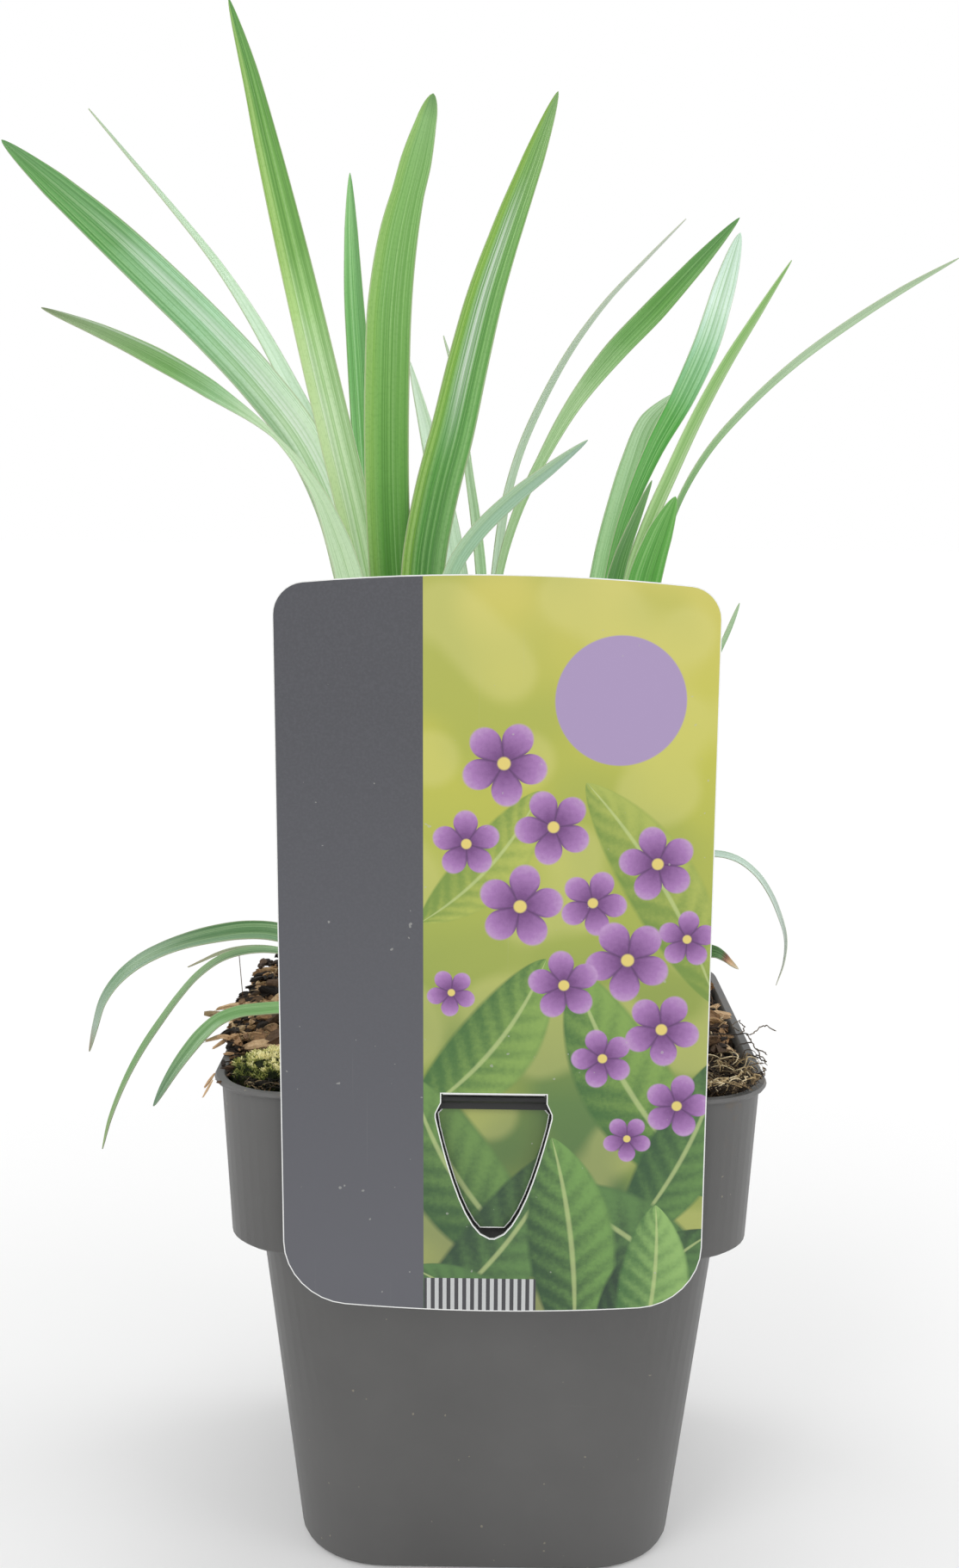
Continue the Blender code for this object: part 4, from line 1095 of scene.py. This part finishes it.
SHEATH = ((0.0, (0.12, 0.08, 0.04)), (0.35, (0.30, 0.24, 0.12)), (0.65, (0.34, 0.38, 0.16)),
          (1.0, (0.55, 0.56, 0.34)))


def spun(angle, axis):
    return Matrix.Rotation(angle, 4, axis)


def sized(size, wide, thick):
    """A block size long, with its width and thickness against its length."""
    return Matrix.Diagonal((size, size * wide, size * thick, 1))


class LILYTURF_OT_litter(Operator):
    """Cover the potting mix with peat, bark chips and fibres"""
    bl_idname = "lilyturf.litter"
    bl_label = "Litter the potting mix"

    def execute(self, context):
        settings = context.scene.lilyturf_litter
        soil = ground("potting_mix")

        def height(x, y):
            z = soil(x, y)
            while z is None:
                x, y = x * 0.96, y * 0.96
                z = soil(x, y)
            return z + pile(x, y)
        peat = mottled("peat", PEAT, 520.0, 0.95, 0.9, 0.0009)
        dress("potting_mix", peat)
        self.bed(height, peat)
        rand = random.Random(7)
        shapes = chip_shapes(7)
        parts = self.pieces(rand, shapes, height)
        parts += self.chips(rand, shapes, height, settings.chips)
        parts += self.crumbs(rand, shapes, 330)
        parts += self.flakes(rand, shapes)
        keep(collect("bark_litter", parts), "bark_litter", tinted("bark", BARK, 0.8, 1100.0, 0.9, 0.0005),
             "bark_brown", *[n for n in NODES if n.startswith("bark_chip")])
        self.fibres(settings.fibres, height)
        return {"FINISHED"}

    def pieces(self, rand, shapes, height):
        """The large bark pieces, each at its own place."""
        parts = []
        for x, y, size, turn, tint in BARK_PIECES:
            spin = spun(math.radians(turn), "Z") @ spun(rand.gauss(0, 0.35), "Y")
            x, y = x * MM, y * MM
            lift = Matrix.Translation((x, y, height(x, y) + 0.0022))
            parts.append((rand.choice(shapes), lift @ spin @ sized(size * MM, 0.46, 0.26), tint))
        return parts

    def chips(self, rand, shapes, height, count):
        """Small chips all over the mix, with more of them along the rim, where they pile up."""
        parts = []
        moss_low, moss_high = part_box("moss_cushion")
        for i in range(count):
            if i % 5 < 2:
                x, y = rand.uniform(-0.06, 0.06), rand.uniform(-0.06, 0.06)
            else:
                run = rand.uniform(-0.06, 0.06)
                off = 0.0605 - abs(rand.gauss(0, 0.011))
                sides = (off, run), (off, run), (-off, run), (-off, run), (run, off), (run, -off)
                x, y = rand.choice(sides)
            size = rand.choice((2.0, 2.8, 3.6, 4.6, 6.0, 8.0)) * rand.uniform(0.75, 1.25) * MM
            room = size * 0.30
            near_moss = moss_low[0] - room < x < moss_high[0] and y < moss_high[1] + room
            near_mat = x > 0.038 and y < -0.040 and size > 0.003
            if near_moss or near_mat or not inside_pot(x, y, room):
                continue
            layer = rand.choice((0, 0, 1, 1, 2))
            thick = rand.uniform(0.18, 0.34)
            turn = spun(rand.random() * math.tau, "Z")
            tilt = spun(rand.gauss(0, 0.42), "X") @ spun(rand.gauss(0, 0.30), "Y")
            block = sized(size, rand.uniform(0.35, 0.62), thick)
            spot = Matrix.Translation((x, y, height(x, y) + size * 0.10 + layer * 0.0010))
            parts.append((rand.choice(shapes), spot @ turn @ tilt @ block, rand.betavariate(0.75, 0.95)))
        return parts

    def crumbs(self, rand, shapes, count):
        """Crumbs that spill over the rim on the left, smaller towards the moss and darker there, as painted
        shade.
        """
        parts = []
        for _ in range(count):
            y = rand.triangular(-0.0590, 0.0600, 0.0)
            front = y < -0.030
            x = -rand.uniform(0.0600, 0.0640 if front else 0.0656)
            size = rand.uniform(1.2, 2.6 if front else 4.6) * MM
            spin = spun(rand.gauss(1.3, 0.7), "Z") @ spun(rand.gauss(0, 0.35), "X")
            z = 0.1262 + rand.random() * 0.0016 if front else 0.1274 + rand.random() * 0.0026
            # Painted shade: the crumbs at the front, below the moss, get darker tints
            tint = rand.betavariate(0.7, 2.6) if front else rand.betavariate(0.8, 1.0)
            place = Matrix.Translation((x, y, z)) @ spin @ sized(size, 0.5, 0.3)
            parts.append((rand.choice(shapes), place, tint))
        return parts

    def flakes(self, rand, shapes):
        """A few pale flakes that hang over the rim."""
        parts = []
        for x, y, z, size, turn, droop, tint in RIM_FLAKES:
            spin = spun(math.radians(turn), "Z") @ spun(-math.radians(droop), "Y")
            place = Matrix.Translation((x * MM, y * MM, z * MM)) @ spin @ sized(size * MM, 0.24, 0.12)
            parts.append((rand.choice(shapes), place, tint))
        return parts

    def bed(self, height, peat):
        """A crumbly bed that closes the gap between the plain potting mix and the litter."""
        select_only()
        bpy.ops.mesh.primitive_grid_add(x_subdivisions=96, y_subdivisions=96, size=2.0)
        bed = bpy.context.object
        straight = MIX_HALF - MIX_CORNER
        for vert in bed.data.vertices:
            x, y = vert.co.x * MIX_HALF, vert.co.y * MIX_HALF
            # The square grid is drawn in to the pot's rounded corners
            cx, cy = max(0.0, abs(x) - straight), max(0.0, abs(y) - straight)
            if cx > 0 and cy > 0:
                pull = max(cx, cy) / math.hypot(cx, cy)
                x = math.copysign(straight + cx * pull, x)
                y = math.copysign(straight + cy * pull, y)
            if abs(x - POCKET_X) < POCKET_HALF + 0.0005:
                y = max(y, POCKET_BACK - 0.0005)
            spot = Vector((x, y, 0.0))
            rough = 0.0013 * noise.noise(spot * 380) + 0.0008 * noise.noise(spot * 900)
            vert.co = (x, y, height(x, y) + rough - 0.0006)
        solid = bed.modifiers.new("Depth", "SOLIDIFY")
        solid.thickness = 0.004
        solid.offset = -1.0
        apply_modifiers(bed)
        bpy.ops.object.shade_flat()
        keep(bed, "peat_bed", peat, "soil_mix")

    def fibres(self, count, height):
        """Loose fibres over the litter, and one hair root that stands up at the back left."""
        rand = random.Random(21)
        paths = []
        while len(paths) < count:
            side = rand.choice((-1, 1))
            near, run = side * (0.060 - abs(rand.gauss(0, 0.011))), rand.uniform(-0.058, 0.058)
            x, y = (near, run) if rand.random() < 0.66 else (run, near)
            if inside_pot(x, y):
                paths.append(wander(rand, x, y, rand.uniform(0.004, 0.013), height))
        paths.append([((-0.0652 - 0.0010 * t, 0.0035 - 0.001 * t, 0.1280 + 0.0150 * t), 0.75)
                      for t in (k / 8 for k in range(9))])
        strands("loose_fibres", paths, 0.00017, STRAW, 3)


def leaflet():
    """One small pointed moss leaf: a flat spike that leans outwards."""
    select_only()
    bpy.ops.mesh.primitive_cone_add(vertices=4, radius1=0.34, radius2=0.05, depth=1.0)
    made = bpy.context.object
    for vert in made.data.vertices:
        t = vert.co.z + 0.5
        vert.co = Vector((vert.co.x, vert.co.y * 0.45 + 0.3 * t * t, t))
    mesh = made.data
    bpy.data.objects.remove(made)
    return mesh


class LILYTURF_OT_moss(Operator):
    """Grow the moss cushion and the straw mat at the two front corners"""
    bl_idname = "lilyturf.moss"
    bl_label = "Grow the moss"

    def execute(self, context):
        rand = random.Random(5)
        heart = mottled("moss_heart", MOSS_HEART, 700.0, 0.95, 0.9, 0.0008)
        dress("moss_cushion", heart)
        self.leaves(rand, *self.mound(heart), context.scene.lilyturf_litter.moss)
        dress("straw_mat", mottled("straw_mat", STRAW_MAT, 700.0, 0.9, 0.9, 0.0008, (1, 3, 3)))
        dress("bark_sliver_left", mottled("bark_sliver", SLIVER, 700.0, 0.85, 0.9, 0.0006, (1, 5, 5)))
        self.straw(rand)
        self.rootlets(rand)
        return {"FINISHED"}

    def mound(self, heart):
        """Lumpy cushion that the moss leaves grow on. Gives its mesh, the height of its middle, its reach."""
        lo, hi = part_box("moss_cushion")
        select_only()
        bpy.ops.mesh.primitive_ico_sphere_add(subdivisions=4, radius=1.0)
        cushion = bpy.context.object
        centre = Vector(((lo[0] + hi[0]) / 2 - 0.0030, (lo[1] + hi[1]) / 2 - 0.0010, lo[2] + 0.0020))
        reach = Vector(((hi[0] - lo[0]) / 2 + 0.0018, (hi[1] - lo[1]) / 2 + 0.0006, hi[2] - lo[2] - 0.0020))
        for vert in cushion.data.vertices:
            p = vert.co.copy()
            lump = 1.0 + 0.16 * noise.noise(p * 2.3) + 0.12 * noise.noise(p * 5.5)
            p.z = p.z ** 0.7 if p.z > 0 else p.z * 0.3
            vert.co = centre + Vector((p.x * reach.x, p.y * reach.y, p.z * reach.z)) * lump
        keep(cushion, "moss_mound", heart, "moss_green")
        return cushion.data, centre.z, reach.z

    def leaves(self, rand, mesh, middle, rise, count):
        """Small leaves in clumps all over the mound, with painted light and shade: paler on top, darker lower
        down.
        """
        shape, tips = leaflet(), []
        tops = [p for p in mesh.polygons if p.normal.z > -0.25]
        weights = [p.area for p in tops]
        for _ in range(count):
            poly = rand.choices(tops, weights)[0]
            a, b, c = (mesh.vertices[k].co for k in poly.vertices[:3])
            r, t = math.sqrt(rand.random()), rand.random()
            spot = a * (1 - r) + b * r * (1 - t) + c * r * t
            clump = noise.noise(spot * 620)
            if clump < -0.22:
                continue
            up = (poly.normal + Vector((rand.gauss(0, 0.55), rand.gauss(0, 0.55), 0.3))).normalized()
            size = rand.uniform(0.0005, 0.0010) * (1.0 + clump)
            turn = up.to_track_quat("Z", "Y").to_matrix().to_4x4() @ spun(rand.random() * math.tau, "Z")
            place = Matrix.Translation(spot - up * 0.0001) @ turn @ sized(size, 1, 1)
            # Painted light and shade: the higher a leaf sits on the mound, the paler its tint
            high = max(0.0, (spot.z - middle) / rise)
            light = 0.92 * high ** 1.8 + 0.75 * clump + rand.gauss(0.02, 0.15)
            tips.append((shape, place, min(1.0, max(0.0, light))))
        finish = tinted("moss", MOSS, 0.8, 1500.0, 0.3)
        keep(collect("moss_leaves", tips), "moss_leaves", finish, "moss_green")

    def rootlets(self, rand):
        """Dark branching rootlets that stand out over the rim at the right, in place of the plain sliver."""
        paths = []
        for legs in RIM_ROOTLETS:
            path = []
            for a, b in zip(legs, legs[1:]):
                for k in range(4):
                    stray = Vector([rand.gauss(0, 0.16) for _ in range(3)])
                    path.append(((Vector(a).lerp(Vector(b), k / 4) + stray) * MM, 1.0))
            path.append((Vector(legs[-1]) * MM, 0.4))
            paths.append(path)
        made = strands("rim_rootlets", paths, 0.00017, ROOT_GREY, 4)
        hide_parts("straw_sliver_right")

    def straw(self, rand):
        """Tangled straw over the mat at the front right, and rootlets in front of the moss, coloured near
        black as painted shade below the moss.
        """
        lo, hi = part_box("straw_mat")
        mat, soil = ground("straw_mat"), ground("potting_mix")

        def height(x, y):
            rim = RIM_TOP if not inside_pot(x, y) else 0.0
            return max(mat(x, y) or 0.0, soil(x, y) or 0.0, rim, MIX_TOP)
        for name, count, depth, lift, stops in (("root_tangle", 200, 0.00011, 0.0, ROOT_BROWN),
                                                ("straw_tangle", 95, 0.00016, 0.0010, BRIGHT_STRAW)):
            paths = []
            for _ in range(count):
                x, y = rand.uniform(lo[0] - 0.003, 0.063), rand.triangular(-0.0646, hi[1] + 0.010, -0.060)
                length = rand.uniform(0.005, 0.012)
                paths.append(wander(rand, x, y, length, lambda x, y: height(x, y) + lift,
                                    1.5, 0.0015, 11, 0.0646))
            strands(name, paths, depth, stops, 8)
        # Painted shade: near-black rootlets where the moss shades the front of the rim
        roots = []
        for _ in range(60):
            x, y = rand.uniform(-0.061, -0.036), rand.uniform(-0.0615, -0.050)
            length = rand.uniform(0.004, 0.010)
            roots.append(wander(rand, x, y, length, lambda x, y: 0.1258, 1.8, 0.0012, 9, 0.0618))
        strands("rootlets_in_painted_shade", roots, 0.00011, ROOT_IN_PAINTED_SHADE, 9)


class LILYTURF_OT_crowns(Operator):
    """Wrap each crown in short pointed sheaths"""
    bl_idname = "lilyturf.crowns"
    bl_label = "Sheathe the crowns"

    def execute(self, context):
        bark = mottled("crown", CROWN, 300.0, 0.85, 0.7, 0.0005, (4, 4, 0.6))
        shell = mottled("sheath", SHEATH, 500.0, 0.6, 0.5, 0.0003, (5, 5, 0.5))
        for node in sorted(n for n in NODES if n.startswith("crown_")):
            dress(node, bark)
            self.sheaths(node, shell, 22)
        return {"FINISHED"}

    def sheaths(self, node, shell, count):
        """Two rings of sheaths round a crown, every other one further in."""
        rand = random.Random(node)
        lo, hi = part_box(node)
        cx, cy = (lo[0] + hi[0]) / 2, (lo[1] + hi[1]) / 2
        rx, ry = (hi[0] - lo[0]) / 2, (hi[1] - lo[1]) / 2
        made = []
        for i in range(count):
            a = math.tau * i / count + rand.gauss(0, 0.08)
            ring = 0.62 if i % 2 else 0.88
            foot = Vector((cx + rx * ring * math.cos(a), cy + ry * ring * math.sin(a), lo[2] + 0.0035))
            out = Vector((math.cos(a) / rx, math.sin(a) / ry, 0)).normalized()
            tall = rand.uniform(0.007, 0.017)
            half = rand.uniform(0.0022, 0.0034)
            made.append(self.sheath(foot, out, tall, half, rand.uniform(0.0, 0.30)))
        select_only(*made)
        bpy.ops.object.join()
        whole = bpy.context.object
        bpy.ops.object.shade_smooth()
        keep(whole, node.replace("crown", "sheaths"), shell, "crown_sheath")

    def sheath(self, foot, out, tall, half, lean):
        """One pointed sheath, hollow towards the crown, that leans outwards."""
        side = Vector((-out.y, out.x, 0))
        select_only()
        bpy.ops.mesh.primitive_grid_add(x_subdivisions=6, y_subdivisions=9, size=1.0)
        sheath = bpy.context.object
        for vert in sheath.data.vertices:
            u, t = vert.co.x * 2, vert.co.y + 0.5
            w = half * (1.0 - t ** 2.2) ** 0.7
            outward = lean * tall * t * t - abs(u) ** 2 * w * 0.5
            vert.co = foot + side * (w * u) + out * outward + Vector((0, 0, tall * t))
        solid = sheath.modifiers.new("Wall", "SOLIDIFY")
        solid.thickness = 0.0004
        solid.offset = 0.0
        apply_modifiers(sheath)
        return sheath


class LILYTURF_OT_stage(Operator):
    """Set up the pale floor, the soft light and the camera"""
    bl_idname = "lilyturf.stage"
    bl_label = "Set up the stage"

    def execute(self, context):
        settings = context.scene.lilyturf_stage
        self.floor(tuple(settings.floor))
        context.scene.world = self.sky(settings.light)
        for name, place, size, power in LIGHTS:
            lamp = bpy.data.lights.new(name, "AREA")
            lamp.size = size
            lamp.energy = power
            made = bpy.data.objects.new(name, lamp)
            made.location = place
            made.rotation_euler = (LIGHT_AIM - Vector(place)).to_track_quat("-Z", "Y").to_euler()
            context.collection.objects.link(made)
        camera = self.camera()
        context.collection.objects.link(camera)
        context.scene.camera = camera
        context.scene.view_settings.view_transform = "Standard"
        return {"FINISHED"}

    def floor(self, colour):
        """A pale floor that runs out into a lit white sweep."""
        select_only()
        bpy.ops.mesh.primitive_plane_add(size=30.0, location=(0, 0, -0.0002))
        floor = bpy.context.object
        floor.name = "floor"
        paper = Finish("floor_finish", 0.9, 0.1)
        place = paper.coords.outputs["Object"]
        fine = paper.noise(place, 3.0, 3.0)
        x, y, _ = paper.split(place)
        lit = paper.remap(paper.distance(x, y), 0.07, 0.46, 0.10, 1.0, True)
        pale = paper.mix(fine, colour, tuple(c * 1.02 for c in colour))
        paper.shader.inputs["Emission Color"].default_value = (1.0, 1.0, 1.0, 1.0)
        paper.put(paper.shader.inputs["Emission Strength"], lit)
        floor.data.materials.append(paper.done(paper.mix(lit, pale, (0.0, 0.0, 0.0))))

    def sky(self, light):
        """Even white light from all sides, weaker from above."""
        world = bpy.data.worlds.new("studio")
        world.use_nodes = True
        tree = world.node_tree
        sky = tree.nodes["Background"]
        aim = tree.nodes.new("ShaderNodeTexCoord")
        rise = tree.nodes.new("ShaderNodeSeparateXYZ")
        ramp = tree.nodes.new("ShaderNodeMapRange")
        ramp.interpolation_type = "SMOOTHSTEP"
        tree.links.new(aim.outputs["Generated"], rise.inputs[0])
        tree.links.new(rise.outputs[2], ramp.inputs[0])
        for socket, value in zip(ramp.inputs[1:5], (0.42, 0.62, light, light * 0.42)):
            socket.default_value = value
        tree.links.new(ramp.outputs[0], sky.inputs[1])
        sky.inputs[0].default_value = (1.0, 1.0, 1.0, 1.0)
        return world

    def camera(self):
        lens = bpy.data.cameras.new("camera")
        lens.sensor_width = SENSOR_MM
        lens.sensor_fit = "AUTO"
        lens.lens = FOCAL_PX / PICTURE_PX * SENSOR_MM
        lens.clip_start = 0.01
        camera = bpy.data.objects.new("camera", lens)
        camera.location = CAMERA_PLACE
        pitch, yaw, roll = (math.radians(a) for a in (CAMERA_PITCH, CAMERA_YAW, CAMERA_ROLL))
        look = Vector((math.sin(yaw) * math.cos(pitch), math.cos(yaw) * math.cos(pitch), -math.sin(pitch)))
        level = Vector((math.cos(yaw), -math.sin(yaw), 0))
        above = level.cross(look)
        right = level * math.cos(roll) + above * math.sin(roll)
        up = above * math.cos(roll) - level * math.sin(roll)
        camera.rotation_mode = "QUATERNION"
        camera.rotation_quaternion = Matrix((right, up, -look)).transposed().to_quaternion()
        return camera


class LILYTURF_PT_panel(Panel):
    """Lists the pieces of the plant"""
    bl_idname = "LILYTURF_PT_panel"
    bl_label = "Lily Turf"
    bl_space_type = "VIEW_3D"
    bl_region_type = "UI"
    bl_category = "Lily Turf"

    def draw(self, context):
        rows = (("lilyturf.leaves", "lilyturf_leaf", ("across", "along", "thickness", "ridge")),
                ("lilyturf.pot", "lilyturf_pot", ("plastic", "roughness")),
                ("lilyturf.label", "lilyturf_label", ("slate", "lime", "lilac", "cut_edge")),
                ("lilyturf.litter", "lilyturf_litter", ("chips", "fibres", "moss")),
                ("lilyturf.moss", None, ()),
                ("lilyturf.crowns", None, ()),
                ("lilyturf.stage", "lilyturf_stage", ("floor", "light")))
        for operator, group, names in rows:
            box = self.layout.box()
            for name in names:
                box.prop(getattr(context.scene, group), name)
            box.operator(operator)


GROUPS = (("lilyturf_leaf", LeafSettings), ("lilyturf_label", LabelSettings), ("lilyturf_pot", PotSettings),
          ("lilyturf_litter", LitterSettings), ("lilyturf_stage", StageSettings))
CLASSES = (LeafSettings, LabelSettings, PotSettings, LitterSettings, StageSettings, LILYTURF_OT_leaves,
           LILYTURF_OT_pot, LILYTURF_OT_label, LILYTURF_OT_litter, LILYTURF_OT_moss, LILYTURF_OT_crowns,
           LILYTURF_OT_stage, LILYTURF_PT_panel)


def register():
    for cls in CLASSES:
        bpy.utils.register_class(cls)
    for name, cls in GROUPS:
        setattr(bpy.types.Scene, name, PointerProperty(type=cls))


def unregister():
    for name, _ in GROUPS:
        delattr(bpy.types.Scene, name)
    for cls in reversed(CLASSES):
        bpy.utils.unregister_class(cls)


def main():
    register()
    bpy.ops.lilyturf.pot()
    bpy.ops.lilyturf.label()
    bpy.ops.lilyturf.litter()
    bpy.ops.lilyturf.moss()
    bpy.ops.lilyturf.crowns()
    bpy.ops.lilyturf.leaves()
    bpy.ops.lilyturf.stage()


if __name__ == "__main__":
    main()
